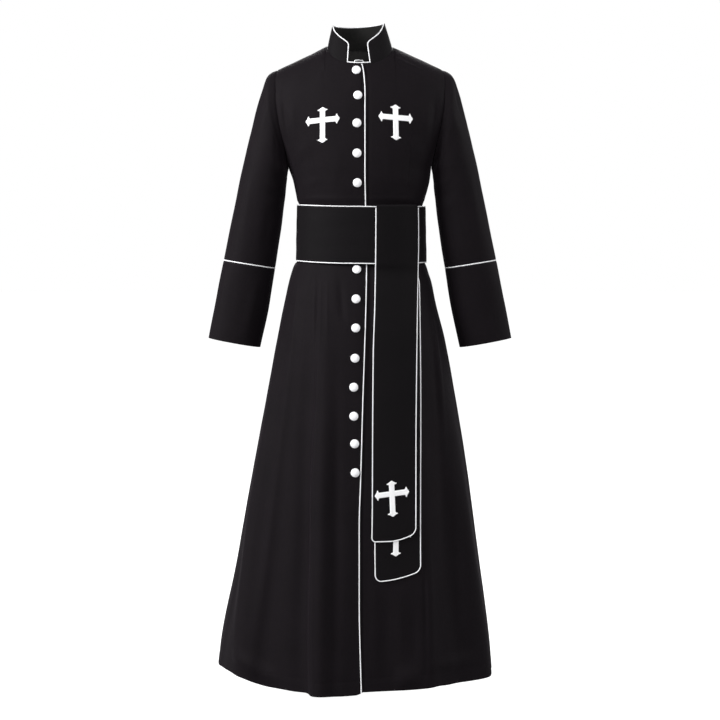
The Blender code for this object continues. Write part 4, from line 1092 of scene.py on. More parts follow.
def nap_group():
    """The unevenness of handled cloth: a broad and a fine noise over the object. Gives a tone
    about one and a height from 0 to 1."""
    group, entry, leave = new_group("nap and handling", [
        ("Vector", "NodeSocketVector", None),
        ("Broad", "NodeSocketFloat", 14.0),
        ("Fine", "NodeSocketFloat", 160.0),
        ("Amount", "NodeSocketFloat", 0.2),
    ], [("Tone", "NodeSocketFloat"), ("Height", "NodeSocketFloat")])
    wire = Wiring(group)
    broad = wire.noise(entry.outputs["Vector"], entry.outputs["Broad"], 3.0)
    fine = wire.noise(entry.outputs["Vector"], entry.outputs["Fine"])
    both = wire.math("ADD", wire.math("MULTIPLY", broad, 0.6), wire.math("MULTIPLY", fine, 0.4))
    off = wire.math("SUBTRACT", both, 0.5)
    tone = wire.math("MULTIPLY_ADD", off, wire.math("MULTIPLY", entry.outputs["Amount"], 4), 1.0)
    group.links.new(tone, leave.inputs["Tone"])
    group.links.new(both, leave.inputs["Height"])
    return group


def thread_group():
    """Satin stitch: threads side by side, the absolute sine of the way along, slanting from
    the middle outwards. Gives height and shaded colour."""
    group, entry, leave = new_group("satin threads", [
        ("Place", "NodeSocketVector", None),
        ("Colour", "NodeSocketColor", None),
        ("Pitch", "NodeSocketFloat", 0.0005),
        ("Contrast", "NodeSocketFloat", 0.1),
    ], [("Colour", "NodeSocketColor"), ("Height", "NodeSocketFloat")])
    wire = Wiring(group)
    split = group.nodes.new("ShaderNodeSeparateXYZ")
    group.links.new(entry.outputs["Place"], split.inputs[0])
    aside = wire.math("ABSOLUTE", split.outputs["X"])
    slant = wire.math("MULTIPLY_ADD", aside, 0.45, split.outputs["Y"])
    turns = wire.math("DIVIDE", math.pi, entry.outputs["Pitch"])
    thread = wire.math("ABSOLUTE", wire.math("SINE", wire.math("MULTIPLY", slant, turns)))
    stretched = group.nodes.new("ShaderNodeCombineXYZ")
    group.links.new(wire.math("MULTIPLY", split.outputs["X"], 0.15), stretched.inputs["X"])
    group.links.new(slant, stretched.inputs["Y"])
    worn = wire.noise(stretched.outputs[0], 900.0)
    height = wire.math("MULTIPLY_ADD", wire.math("SUBTRACT", worn, 0.5), 0.6, thread)
    tone = wire.math("SUBTRACT", height, 0.64)
    tone = wire.math("MULTIPLY_ADD", tone, entry.outputs["Contrast"], 1.0)
    group.links.new(wire.shade(entry.outputs["Colour"], tone), leave.inputs["Colour"])
    group.links.new(height, leave.inputs["Height"])
    return group


def shared_group(name, maker):
    """The group of this name, made the first time it is asked for."""
    return bpy.data.node_groups.get(name) or maker()


def new_material(name):
    """A material, short ways to wire it, its shader and its coordinates."""
    material = bpy.data.materials.new(name)
    material.use_nodes = True
    tree = material.node_tree
    places = tree.nodes.new("ShaderNodeTexCoord")
    return material, Wiring(tree), tree.nodes["Principled BSDF"], places


def placed_group(wire, name, maker, **values):
    """A node that holds a shared group, with its sockets fed."""
    node = wire.tree.nodes.new("ShaderNodeGroup")
    node.node_tree = shared_group(name, maker)
    for label, value in values.items():
        wire.feed(node.inputs[label], value)
    return node


def set_bump(wire, shader, height, distance, strength, before=None):
    """Fine relief of a shader, which may add to a bump set before."""
    bump = wire.tree.nodes.new("ShaderNodeBump")
    bump.inputs["Strength"].default_value = strength
    bump.inputs["Distance"].default_value = distance
    wire.feed(bump.inputs["Height"], height)
    if before is not None:
        wire.tree.links.new(before.outputs["Normal"], bump.inputs["Normal"])
    wire.tree.links.new(bump.outputs["Normal"], shader.inputs["Normal"])
    return bump


def woven_material(name, colour, pitch, contrast, rough, amount, sheen, tint, specular, relief):
    """Cloth of one colour: the twill over its own map, toned by the nap over the object."""
    material, wire, shader, places = new_material(name)
    nap = placed_group(wire, "nap and handling", nap_group, Vector=places.outputs["Object"],
                       Amount=amount)
    twill = placed_group(wire, "twill weave", twill_group, Place=places.outputs["UV"],
                         Colour=(*colour, 1), Pitch=pitch, Contrast=contrast, Roughness=rough)
    wire.feed(shader.inputs["Base Color"],
              wire.shade(twill.outputs["Colour"], nap.outputs["Tone"]))
    wire.feed(shader.inputs["Roughness"], twill.outputs["Roughness"])
    shader.inputs["Specular IOR Level"].default_value = specular
    shader.inputs["Sheen Weight"].default_value = sheen
    shader.inputs["Sheen Roughness"].default_value = 0.45
    shader.inputs["Sheen Tint"].default_value = (*tint, 1)
    broad = set_bump(wire, shader, nap.outputs["Height"], 0.0012, 0.25)
    set_bump(wire, shader, twill.outputs["Height"], relief, 0.5, before=broad)
    return material


def stored(name, maker):
    """The material of this name, made the first time it is asked for."""
    return bpy.data.materials.get(name) or maker(name)


def suiting():
    """Black worsted twill of the body, sleeves and cuffs."""
    return stored("black suiting", lambda name: woven_material(
        name, cloth_set().colour, cloth_set().yarn, contrast=0.22, rough=0.72, amount=0.22,
        sheen=0.024, tint=(0.95, 0.80, 0.95), specular=0.09, relief=0.00018))


# level above which the inside of the body is painted paler: painted light standing in for light
# that falls in at the neck
PAINTED_LIGHT_FOOT = -0.170


def inner_cloth(part, shade, facing=0.0):
    """The wrong side of the cloth, greyer and duller, and paler than its face: partly its own look
    and partly painted light for the dim inside. Above a level line it is painted paler still, by
    the facing factor, as painted light falling in at the neck."""
    def make(name):
        material = woven_material(
            name, (shade, 0.97 * shade, 0.95 * shade), cloth_set().yarn, contrast=0.25, rough=0.8,
            amount=0.25, sheen=0.05, tint=(1.0, 1.0, 1.0), specular=0.10, relief=0.00018)
        wire = Wiring(material.node_tree)
        shader = material.node_tree.nodes["Principled BSDF"]
        split = wire.tree.nodes.new("ShaderNodeSeparateXYZ")
        places = wire.tree.nodes.new("ShaderNodeTexCoord")
        wire.tree.links.new(places.outputs["Object"], split.inputs[0])
        # painted light: above the level line the colour is raised by the facing factor
        high = wire.math("GREATER_THAN", split.outputs["Z"], PAINTED_LIGHT_FOOT)
        paler = wire.math("MULTIPLY_ADD", high, facing, 1.0)
        plain = shader.inputs["Base Color"].links[0].from_socket
        wire.feed(shader.inputs["Base Color"], wire.shade(plain, paler))
        return material
    return stored("wrong side, " + part, make)


def inside_of_body():
    """The wrong side of the panels' and the sleeves' cloth: paler than the face, partly as painted
    light, and paler again towards the neck as painted light.
    """
    return inner_cloth("body", 0.024, facing=1.0)


def faced_cloth():
    """The same cloth, smoother over interfacing: collar, band and strip."""
    return stored("black interfaced cloth", lambda name: woven_material(
        name, cloth_set().faced, cloth_set().yarn * 0.8, contrast=0.14, rough=0.70, amount=0.12,
        sheen=0.024, tint=(0.95, 0.85, 0.95), specular=0.08, relief=0.00012))


def white_cotton():
    """White bias strip over cord, and covered buttons."""
    return stored("white piping cloth", lambda name: woven_material(
        name, trim_set().white, 0.0006, contrast=0.05, rough=0.55, amount=0.05,
        sheen=0.05, tint=(1.0, 1.0, 1.0), specular=0.30, relief=0.00010))


def black_thread():
    """Black sewing thread: fine twisted cord."""
    return stored("black thread", lambda name: woven_material(
        name, [c * 1.3 for c in cloth_set().colour], 0.0003, contrast=0.20, rough=0.50,
        amount=0.10, sheen=0.05, tint=(0.9, 0.85, 0.95), specular=0.30, relief=0.00005))


def white_thread():
    """White rayon thread of the crosses."""
    def make(name):
        material, wire, shader, places = new_material(name)
        threads = placed_group(wire, "satin threads", thread_group, Place=places.outputs["UV"],
                               Colour=(*trim_set().thread, 1), Pitch=0.0005, Contrast=0.14)
        wire.feed(shader.inputs["Base Color"], threads.outputs["Colour"])
        nap = placed_group(wire, "nap and handling", nap_group, Fine=900.0,
                           Vector=places.outputs["Object"])
        wire.feed(shader.inputs["Roughness"],
                  wire.math("MULTIPLY_ADD", nap.outputs["Height"], 0.2, 0.32))
        shader.inputs["Specular IOR Level"].default_value = 0.4
        shader.inputs["Sheen Weight"].default_value = 0.1
        set_bump(wire, shader, threads.outputs["Height"], 0.00022, 0.55)
        return material
    return stored("white satin thread", make)


def plated_wire():
    """Nickel-plated wire of the hook and eye, finely scuffed."""
    def make(name):
        material, wire, shader, places = new_material(name)
        nap = placed_group(wire, "nap and handling", nap_group, Broad=600.0, Fine=4000.0,
                           Vector=places.outputs["Object"])
        colour = wire.shade((0.93, 0.93, 0.95), nap.outputs["Tone"])
        wire.feed(shader.inputs["Base Color"], colour)
        wire.feed(shader.inputs["Roughness"],
                  wire.math("MULTIPLY_ADD", nap.outputs["Height"], 0.2, 0.38))
        shader.inputs["Metallic"].default_value = 1.0
        set_bump(wire, shader, nap.outputs["Height"], 0.00004, 0.3)
        return material
    return stored("plated wire", make)


# ---- body panels -----------------------------------------
EDGE_STEPS = np.array([0.0, 0.0006, 0.0013, 0.0022, 0.0034, 0.0050])
ROW_STEP = 0.0052


def columns_of(lines, counts, nominal):
    """u of a panel's columns in every row. Beside both seams they lie close together, at
    fixed lengths from the seam, and between the guide lines they split each width evenly."""
    first, last = lines[0][:, None], lines[-1][:, None]
    width = np.abs(last - first)
    steps = EDGE_STEPS[None, :] / quarter(nominal)[:, None]
    steps = steps * np.minimum(1, 0.4 * width / steps[:, -1:]) * np.sign(last - first)
    inner = [first + steps[:, -1:]] + [line[:, None] for line in lines[1:-1]]
    inner.append(last - steps[:, -1:])
    parts = [first + steps[:, :-1]]
    for left, right, count in zip(inner, inner[1:], counts):
        parts.append(left + (right - left) * np.arange(count)[None, :] / count)
    parts.append(last - steps[:, ::-1])
    return np.hstack(parts)


def levels_of(last_level):
    """Levels of a panel's rows: close together at the hem's fold, at its stitching and at the
    upper edge, and evenly spread between."""
    turned = HEM + cloth_set().hem
    near = np.array([0.0, 0.0012, 0.0024, 0.0040])
    skirt = np.arange(HEM + 0.0090, ARMPIT - 0.001, ROW_STEP)
    skirt = skirt[np.abs(skirt - turned) > 0.006]
    skirt = np.concatenate([HEM + EDGE_STEPS, skirt, turned - near[1:], turned + near])
    end = CROWN if last_level is None else last_level
    count = max(4, int((end - ARMPIT) / ROW_STEP))
    yoke = np.linspace(ARMPIT, end - EDGE_STEPS[-1] - 0.003, count)
    return np.sort(np.concatenate([skirt, yoke, end - EDGE_STEPS]))


HEM_STEP = 0.0003                # how far the doubled cloth of the hem stands out
HEM_PULL = 0.0002                # how far its stitching draws it in
HEM_TURN = 0.0005                # rounding of its fold


def hem_relief(level):
    """The turned-up hem: a slight step out below its stitching, which draws the cloth in."""
    above = level - HEM - cloth_set().hem
    uneven = 0.8 + 0.2 * np.sin(level * 900)
    return (HEM_STEP * smooth_step(-above / 0.012)
            - HEM_PULL * uneven * np.exp(-(above / DIP_WIDTH) ** 2)
            - HEM_TURN * np.exp(-((level - HEM) / 0.0012) ** 2))


STRIP_LEFT, STRIP_RIGHT, STRIP_FOOT, STRIP_HEAD = 0.022, 0.150, -1.225, -0.350
COVER_FOOT, COVER_HEAD = -0.505, -0.352
PRESSED = 0.7                    # share of the creases that strip and band press flat


def covered(x, level):
    """1 where the hanging strip or the band lies on the body's front, 0 elsewhere."""
    strip = (smooth_step((x - STRIP_LEFT) / 0.012) * smooth_step((STRIP_RIGHT - x) / 0.012)
             * smooth_step((level - STRIP_FOOT) / 0.030)
             * smooth_step((STRIP_HEAD - level) / 0.02))
    band = smooth_step((level - COVER_FOOT) / 0.012) * smooth_step((COVER_HEAD - level) / 0.008)
    return np.maximum(strip, band)


def armhole_seam(level):
    """Depth of a seam that runs into the armhole, where the sleeve's weight draws it in."""
    return 1 + 1.0 * smooth_step((level - ARMPIT) / 0.02)


def princess_seam(sign):
    """Depth of the princess seam: pressed flat in the skirt, clearer on the left breast, gone
    where it curves away, and then the armhole's own."""
    def depth(level):
        breast = smooth_step((level + 0.33) / 0.05) * (0.8 if sign > 0 else 0.0)
        flat = (0.3 + breast) * (1 - smooth_step((level + 0.20) / 0.05))
        return np.where(level >= PRINCESS_TOP, 2.0, flat)
    return depth


def plain_seam(level):
    """Depth of a seam that is the same all the way."""
    return 1.0 + 0 * level


TROUGH_ASIDE = 0.0018
TROUGH_DEPTH = 0.0030
TROUGH_WIDTH = 0.0034


def closing_trough(u, level):
    """The lower front gives way beside the closing cord, which throws its shadow there."""
    edge = closing_edge_u(level[:, 0], PIPE_REACH + TROUGH_ASIDE)[:, None]
    return -TROUGH_DEPTH * np.exp(-((u - edge) * quarter(level) / TROUGH_WIDTH) ** 2)


def panel(name, guides, counts, seams, lift=None, back=False, last_level=None):
    """A body panel as a thin shell. guides are functions of level that give u from one seam
    to the other, and seams the depths of the two. Each point is the shell's, moved out by the
    lift, the creases, the dips beside the seams and the hem's step."""
    nominal = levels_of(last_level)
    u = columns_of([guide(nominal) for guide in guides], counts, nominal)
    level = np.broadcast_to(nominal[:, None], u.shape).copy()
    yoke = nominal > ARMPIT
    if last_level is None:
        share = (nominal[yoke, None] - ARMPIT) / YOKE_RISE
        top = top_level(turn_of(u[-1]), back)[None, :]
        level[yoke] = ARMPIT + share * (top - ARMPIT)
    plain = body_point(u, level)
    across = lengths(plain, 1)
    below = lengths(plain[::-1], 0)[::-1]
    hidden = 0.0 if back else covered(plain[..., 0], level)
    relief = crease_relief(u, level) * (1 - PRESSED * hidden) + hem_relief(level)
    relief = (relief + edge_roll(across) * seams[0](level) + edge_roll(below)
              + edge_roll(across[:, -1:] - across) * seams[1](level))
    if lift is not None:
        relief = relief + lift(u, level)
    normal = body_normal(u, level)
    outer = plain + normal * relief[..., None]
    piece = two_walls(name, outer, outer - normal * cloth_set().shell, suiting(),
                      inside=inside_of_body())
    finished(piece, name)


class CASSOCK_OT_body_panels(bpy.types.Operator):
    """Make the fronts, the side fronts and the backs."""
    bl_idname = "cassock.body_panels"
    bl_label = "Body panels"

    def execute(self, context):
        def seam(sign, line):
            return lambda level: sign * line(level)

        def side(level):
            return np.ones(len(level))

        def guide(column, sign):
            return lambda level: sign * guide_u(column, level)

        def underlap(level):
            return u_of_x(UNDERLAP, np.minimum(level, NECK_TOP))

        panel("front_right", [lambda level: closing_edge_u(level, -PIPE_REACH),
                              guide("right", -1), seam(-1, princess)],
              (40, 22), (plain_seam, princess_seam(-1)),
              lift=lambda u, level: closing_lift(u))
        panel("front_left", [underlap, guide("left", 1), seam(1, princess)],
              (60, 22), (plain_seam, princess_seam(1)), lift=closing_trough)
        for name, sign in SIDES:
            panel("side_front_" + name,
                  [seam(sign, lambda level: PRINCESS.at("u", level)), seam(sign, side)],
                  (40,), (princess_seam(sign), armhole_seam),
                  last_level=PRINCESS_TIP)
            panel("back_" + name,
                  [seam(sign, side), seam(sign, lambda level: (2 - NECK_U) * side(level)),
                   seam(sign, lambda level: 2 * side(level))],
                  (46, 22), (armhole_seam, plain_seam), back=True)
        return {"FINISHED"}


# ---- sleeves ---------------------------------------------
def ring_of(values, angle):
    """A superellipse between an outer and an inner edge, seen from the front, with its depth."""
    wide = np.sign(np.cos(angle)) * np.abs(np.cos(angle)) ** (2 / SLEEVE_POWER)
    deep = np.sign(np.sin(angle)) * np.abs(np.sin(angle)) ** (2 / SLEEVE_POWER)

    def between(axis):
        outer, inner = values["outer_" + axis], values["inner_" + axis]
        return (outer + inner) / 2 + (outer - inner) / 2 * wide
    return np.stack([between("x"), -values["half_depth"] * deep, between("z")], -1)


def armhole_point(angle):
    """The armhole's edge on the shell: angle 0 at the shoulder, a quarter turn at the front."""
    level = level_of_share((1 + np.cos(angle)) / 2)
    return body_point(np.where(np.sin(angle) >= 0, 1.0, 1.0 + 1e-9), level)


def sleeve_point(angle, along):
    """A point of the wearer's left sleeve: the ring of its place along, which next to the
    armhole takes the armhole's own curve."""
    angle, along = one_grid(angle, along)
    ring = ring_of({key: SLEEVE.at(key, along) for key in SLEEVE.columns}, angle)
    first = ring_of({key: values[0] for key, values in SLEEVE.columns.items()}, angle)
    share = 1 - smooth_step(along / CAP_FADE)
    return ring + (armhole_point(angle) - first) * share[..., None]


def sleeve_normal(angle, along):
    """The sleeve's normal, which points outwards."""
    return normals(sleeve_point, angle, along, low=0.0, high=1.0)


SLEEVE_GIRTH = 0.37
SLEEVE_LENGTH = 0.63
SLEEVE_ROW_STEP = 0.0042
SLEEVE_WAVE = 0.0004
UNDERARM_DIP = 0.0007            # depth of the dip at the seam under the arm
UNDERARM_WIDTH = 0.0020
ARM_RADIUS = 0.055               # length for each unit of the sleeve's angle


def sleeve_relief(angle, along, sign):
    """The sleeve's creases in lengths round and along it, read three times so that they cross
    the place where the turn starts again, the dip of the seam under the arm, and slow waves."""
    rows = crease_rows(SLEEVE_CREASES)
    if sign < 0:
        rows[:, [0, 2]] += 0.012 * np.sin(np.arange(len(rows)) * 2.1)[:, None]
        rows[:, [1, 3]] += 0.018 * np.cos(np.arange(len(rows)) * 1.3)[:, None]
        rows[:, 4] *= 0.95 + 0.25 * np.sin(np.arange(len(rows)) * 1.7)
    rows[:, [0, 2]] *= SLEEVE_GIRTH
    rows[:, [1, 3]] *= SLEEVE_LENGTH
    around, down = angle / (2 * math.pi) * SLEEVE_GIRTH, along * SLEEVE_LENGTH
    relief = sum(lens_bells(rows, around + shift * SLEEVE_GIRTH, down) for shift in (-1, 0, 1))
    waves = SLEEVE_WAVE * np.sin(2 * angle + 23 * along + sign) * np.sin(3 * angle - 17 * along)
    seam = np.abs(angle - math.pi) * ARM_RADIUS
    dip = UNDERARM_DIP * np.exp(-(seam / UNDERARM_WIDTH) ** 2)
    return (relief + waves) * cloth_set().crease - dip


def sleeve_angles():
    """Angles of the sleeve's columns, close together beside the seam under the arm."""
    even = np.linspace(0, 2 * math.pi, 128, endpoint=False)
    near = math.pi + np.array([-0.040, -0.024, -0.012, 0, 0.012, 0.024, 0.040])
    return np.sort(np.concatenate([even[np.abs(even - math.pi) > 0.055], near]))


def sleeve_piece(name, sign, start, end, end_sewn, shell):
    """Rings of the sleeve from start to end, moved out by the creases, and the same set back.
    A sewn end is drawn in; the start always is."""
    steps = EDGE_STEPS / SLEEVE_LENGTH
    count = int((end - start) * SLEEVE_LENGTH / SLEEVE_ROW_STEP)
    middle = np.linspace(start + steps[-1] + 0.004, end - steps[-1] - 0.004, count)
    along = np.concatenate([start + steps, middle, end - steps[::-1]])
    angle, along = np.meshgrid(sleeve_angles(), along)
    normal = sleeve_normal(angle, along)
    plain = sleeve_point(angle, along)
    down = lengths(plain, 0)
    relief = sleeve_relief(angle, along, sign) * smooth_step(down / 0.03)
    relief = relief + edge_roll(down) * 1.6
    if end_sewn:
        relief = relief + edge_roll(down[-1:] - down)
    mirror = np.array([sign, 1, 1])
    apart = ARMHOLE_GAP * smooth_step(along * SLEEVE_LENGTH / 0.01)
    outer = (plain + normal * relief[..., None] + apart[..., None] * [1, 0, 0]) * mirror
    inner = outer - normal * mirror * shell
    piece = two_walls(name, outer, inner, suiting(), ring=True, inside=inside_of_body())
    finished(piece, name)


def sleeve_step():
    """Share of the sleeve that its piping's reach takes at the cuff."""
    ends = sleeve_point(0.0, CUFF_SEAM + 0.01) - sleeve_point(0.0, CUFF_SEAM - 0.01)
    return PIPE_REACH * 0.02 / float(np.linalg.norm(ends))


class CASSOCK_OT_sleeves(bpy.types.Operator):
    """Make the sleeves and cuffs, and the cord between them; the right ones mirror the left."""
    bl_idname = "cassock.sleeves"
    bl_label = "Sleeves and cuffs"

    def execute(self, context):
        step = sleeve_step()
        for side, sign in SIDES:
            sleeve_piece("sleeve_" + side, sign, 0.0, CUFF_SEAM - step, True,
                         cloth_set().shell)
            sleeve_piece("cuff_" + side, sign, CUFF_SEAM + step, 1.0, False, WALL)
            angle = np.linspace(0, 2 * math.pi, 160, endpoint=False)
            mirror = np.array([sign, 1, 1])
            seam = sleeve_point(angle, CUFF_SEAM)
            path = seam - sleeve_normal(angle, CUFF_SEAM) * WALL / 3 + [ARMHOLE_GAP, 0, 0]
            toward = sleeve_point(angle, CUFF_SEAM + step) - seam
            piping("cuff_piping_" + side, path * mirror, toward * mirror, ring=True, both=True)
        return {"FINISHED"}


# ---- collar and neckline ---------------------------------
def neck_side(sign):
    """One side of the neck opening's edge, from centre front to centre back, as a dense line
    with its running length. On the wearer's right the closing front lies over the other."""
    front_x = NECK_STEPS * sign
    u, level = neckline(front_x)
    lift = closing_lift(u) if sign < 0 else np.zeros(len(u))
    front = on_body(u, level, lift, creased=False)
    back = body_point(*neckline(front_x[::-1][1:], back=True))
    line = np.vstack([front, back])
    return line, lengths(line, 0)


NECK_LEFT = neck_side(1)
NECK_RIGHT = neck_side(-1)
NECK_ROUND = NECK_LEFT[1][-1] + NECK_RIGHT[1][-1]


def neck_point(run):
    """The neckline at a running length: from centre front by the wearer's left, round the
    back and forward again on the right."""
    run = np.asarray(run, float)
    line, length = NECK_LEFT
    left = np.stack([np.interp(run, length, line[:, k]) for k in range(3)], -1)
    line, length = NECK_RIGHT
    right = np.stack([np.interp(NECK_ROUND - run, length, line[:, k]) for k in range(3)], -1)
    return np.where((run > NECK_LEFT[1][-1])[..., None], right, left)


def neck_run(x):
    """Running length round the neck at x, on its front."""
    line, length = NECK_LEFT if x >= 0 else NECK_RIGHT
    run = float(np.interp(abs(x), np.abs(line[:NECK_SAMPLES, 0]), length[:NECK_SAMPLES]))
    return run if x >= 0 else NECK_ROUND - run


COLLAR_START = neck_run(COLLAR_LEFT_END)
COLLAR_END = neck_run(COLLAR_RIGHT_END)


def collar_point(run, height):
    """The collar's outer face: it stands on the neckline and leans in towards its top."""
    run, height = one_grid(run, height)
    base = neck_point(run)
    lean = 1 - COLLAR_LEAN * height / COLLAR_HEIGHT
    x = base[..., 0] * lean + COLLAR_SHIFT * height / COLLAR_HEIGHT
    return np.stack([x, base[..., 1] * lean, base[..., 2] + height], -1)


def collar_top(run):
    """Height of the collar's edge, with a rounded corner at each front end."""
    from_end = np.minimum(run - COLLAR_START, COLLAR_END - run)
    inside = np.clip(COLLAR_CORNER - from_end, 0, COLLAR_CORNER)
    edge = COLLAR_EDGE.at("height", (run - COLLAR_START) / (COLLAR_END - COLLAR_START))
    return edge - (COLLAR_CORNER - np.sqrt(COLLAR_CORNER ** 2 - inside ** 2))


def beside(edge, facing, distance):
    """A line of points moved off an edge, within the cloth's own surface."""
    aside = np.cross(np.gradient(edge, axis=0), facing)
    return edge + distance * aside / np.linalg.norm(aside, axis=-1, keepdims=True)


def collar_runs(count):
    """Running lengths of the collar's columns, close together round its front corners."""
    corner = COLLAR_CORNER * (1 - np.cos(np.linspace(0, math.pi / 2, 10)))
    middle = np.linspace(COLLAR_START + COLLAR_CORNER, COLLAR_END - COLLAR_CORNER, count)
    return np.concatenate([COLLAR_START + corner[:-1], middle, COLLAR_END - corner[-2::-1]])


class CASSOCK_OT_collar(bpy.types.Operator):
    """Make the stand collar, the cord round its free edges and the cord across the neckline."""
    bl_idname = "cassock.collar"
    bl_label = "Collar"

    def execute(self, context):
        run = collar_runs(200)
        height = eased(22)[:, None] * (collar_top(run) + COLLAR_TUCK) - COLLAR_TUCK
        run = np.broadcast_to(run, height.shape)
        normal = normals(collar_point, run, height)
        from_edge = np.minimum(collar_top(run) - height,
                               np.minimum(run - COLLAR_START, COLLAR_END - run))
        ripple = (COLLAR_RIPPLE * np.sin(run * 55) * np.sin(height * 70 + 0.4)
                  * smooth_step(from_edge / 0.01))
        pinch = 0.45 * STIFF_WALL * np.exp(-(from_edge / THIN_EDGE) ** 2)
        pinch = pinch + 0.3 * STIFF_WALL * np.exp(-(height / 0.0020) ** 2)
        face = collar_point(run, height)
        outer = face + normal * (ripple - pinch)[..., None]
        inner = face + normal * (ripple + pinch - STIFF_WALL)[..., None]
        # the collar's inner wall is paler than its face: partly its wrong side's own look and
        # partly painted light for its shaded inside
        piece = two_walls("collar", outer, inner, faced_cloth(),
                          inside=inner_cloth("collar", 0.0105))
        finished(piece, "collar")

        foot = COLLAR_BASE + 2 * PIPE_REACH
        rising = np.linspace(foot, float(height[-1].min()), 14)[:-1]
        ends = len(rising)
        edge_run = np.concatenate([run[0, :1].repeat(ends), run[0], run[0, -1:].repeat(ends)])
        edge_rise = np.concatenate([rising, height[-1], rising[::-1]])
        facing = normals(collar_point, edge_run, edge_rise)
        middle = collar_point(edge_run, edge_rise) - facing * STIFF_WALL / 2
        path = beside(middle, facing, -PIPE_REACH)
        piping("collar_piping", *resampled(path, middle - path, CORD_STEP))

        across = np.linspace(COLLAR_RIGHT_END + GAP, COLLAR_LEFT_END - GAP, 36)
        u, level = neckline(across)
        facing = body_normal(u, level)
        edge = body_point(u, level) + facing * (LAP - WALL / 2)
        path = beside(edge, facing, -PIPE_REACH - GAP)
        piping("neckline_piping", path, edge - path)
        return {"FINISHED"}


class CASSOCK_OT_closing_piping(bpy.types.Operator):
    """Make the cord down the closing front's edge, from the neckline to the hem."""
    bl_idname = "cassock.closing_piping"
    bl_label = "Closing piping"

    def execute(self, context):
        levels = np.linspace(HEM, NECK_TOP - CLOSING_TOP, 620)
        u = closing_edge_u(levels)
        path = on_body(u, levels, PIPE_REACH + GAP)
        edge = closing_edge_u(levels, -PIPE_REACH)
        toward = on_body(edge, levels, closing_lift(edge)) - path
        piping("closing_piping", *resampled(path, toward, 0.0025))
        return {"FINISHED"}


# ---- cincture --------------------------------------------
def band_point(u, height):
    """The middle of the band's wall, a superellipse; height is the share from foot to top."""
    u, height = one_grid(u, height)
    front = np.abs(u) <= 1
    turn = turn_of(u) * math.pi / 2
    flare = BAND_FLARE * (1 - height) * (BAND_TOP - BAND_FOOT)
    half = np.where(u < 0, BAND_HALF_RIGHT, BAND_HALF_LEFT) + flare
    depth = np.where(front, BAND_FRONT, BAND_BACK) + flare
    x = np.sign(u) * half * np.clip(np.sin(turn), 0, 1) ** (2 / BAND_POWER)
    y = np.where(front, -1, 1) * depth * np.abs(np.cos(turn)) ** (2 / BAND_POWER)
    sag = np.where(front, BAND_SAG * np.cos(turn) ** 2, 0) + BAND_TILT * np.maximum(x, 0)
    return np.stack([x, y, BAND_FOOT + height * (BAND_TOP - BAND_FOOT) - sag], -1)


def band_normal(u, height):
    """The band's normal, which points outwards."""
    return normals(band_point, u, height)


BAND_RIPPLE = 0.00035
STRIP_RIPPLE = 0.0004


def band_ripple(u, height):
    """Slack of the band: long level waves that drift round it."""
    waves = np.sin(height * 9 + 3 * u) * np.sin(5 * u + 1) + 0.7 * np.sin(height * 17 - 2 * u)
    return BAND_RIPPLE * waves * np.sin(np.clip(height, 0, 1) * math.pi)


def slide_to_x(x, surface, u):
    """The u at which surface(u) has this x, found by sliding along its slope."""
    for _ in range(8):
        slope = (surface(u + 1e-3)[..., 0] - surface(u - 1e-3)[..., 0]) / 2e-3
        u = np.clip(u + (x - surface(u)[..., 0]) / np.maximum(slope, LEAST_SLOPE), 0.02, 0.98)
    return u


def strip_point(x, level, clear, over_band):
    """Where a hanging strip lies. Over the band it keeps the strip's lift from the band, and
    below it runs out onto the skirt, whichever stands further forward, with a soft bend."""
    x, level = one_grid(x, level)
    under = np.clip(level, HEM, BAND_TOP)

    def skirt(u):
        return on_body(u, under, np.full(u.shape, clear), creased=False)
    depth = -skirt(slide_to_x(x, skirt, u_of_x(x, under)))[..., 1]
    if over_band:
        height = np.clip((level - BAND_FOOT) / (BAND_TOP - BAND_FOOT), 0, 1)

        def face(u):
            return band_point(u, height) + band_normal(u, height) * FOLD_RADIUS
        band_depth = -face(slide_to_x(x, face, turn_across(x / BAND_HALF_LEFT, 2)))[..., 1]
        below = BAND_FOOT - BAND_SAG - 2 * PIPING - level
        band_depth = band_depth - np.clip(below, 0, None) * STRIP_RETURN
        depth = STRIP_SETTLE * np.logaddexp(depth / STRIP_SETTLE, band_depth / STRIP_SETTLE)
    return np.stack([x, -depth, level], -1)


def foot_shape(tail, across):
    """How far a strip's end stands above its lowest line: level at first, then rising as a
    square, with rounded corners."""
    left = np.clip(tail["left"] - across * TAIL_WIDTH, 0, tail["left"])
    right = np.clip(tail["right"] - (1 - across) * TAIL_WIDTH, 0, tail["right"])
    corner = tail["left"] - np.sqrt(tail["left"] ** 2 - left ** 2)
    corner = corner + tail["right"] - np.sqrt(tail["right"] ** 2 - right ** 2)
    lifted = np.clip(across - tail["level_to"], 0, None) / (1 - tail["level_to"])
    return tail["rise"] * lifted ** 2 + corner


def head_shape(tail, across):
    """How far the fold of a strip over the band lies below the band's top line."""
    left, right = (tail["edges"].at(side, BAND_TOP) for side in ("left_edge", "right_edge"))
    x = left + (right - left) * across
    turn = np.arcsin((x / BAND_HALF_LEFT) ** (BAND_POWER / 2))
    return BAND_SAG * np.cos(turn) ** 2 + BAND_TILT * x


def tail_xz(tail, across, down):
    """x and height of a strip at shares across its width and down its length. The shapes of
    its two ends fade quickly into level rows."""
    level = tail["head"] + (tail["foot"] - tail["head"]) * down
    level = level + foot_shape(tail, across) * down ** END_FADE
    if tail["over"]:
        level = level - head_shape(tail, across) * (1 - down) ** END_FADE
    left = tail["edges"].at("left_edge", level)
    right = tail["edges"].at("right_edge", level)
    return left + (right - left) * across, level


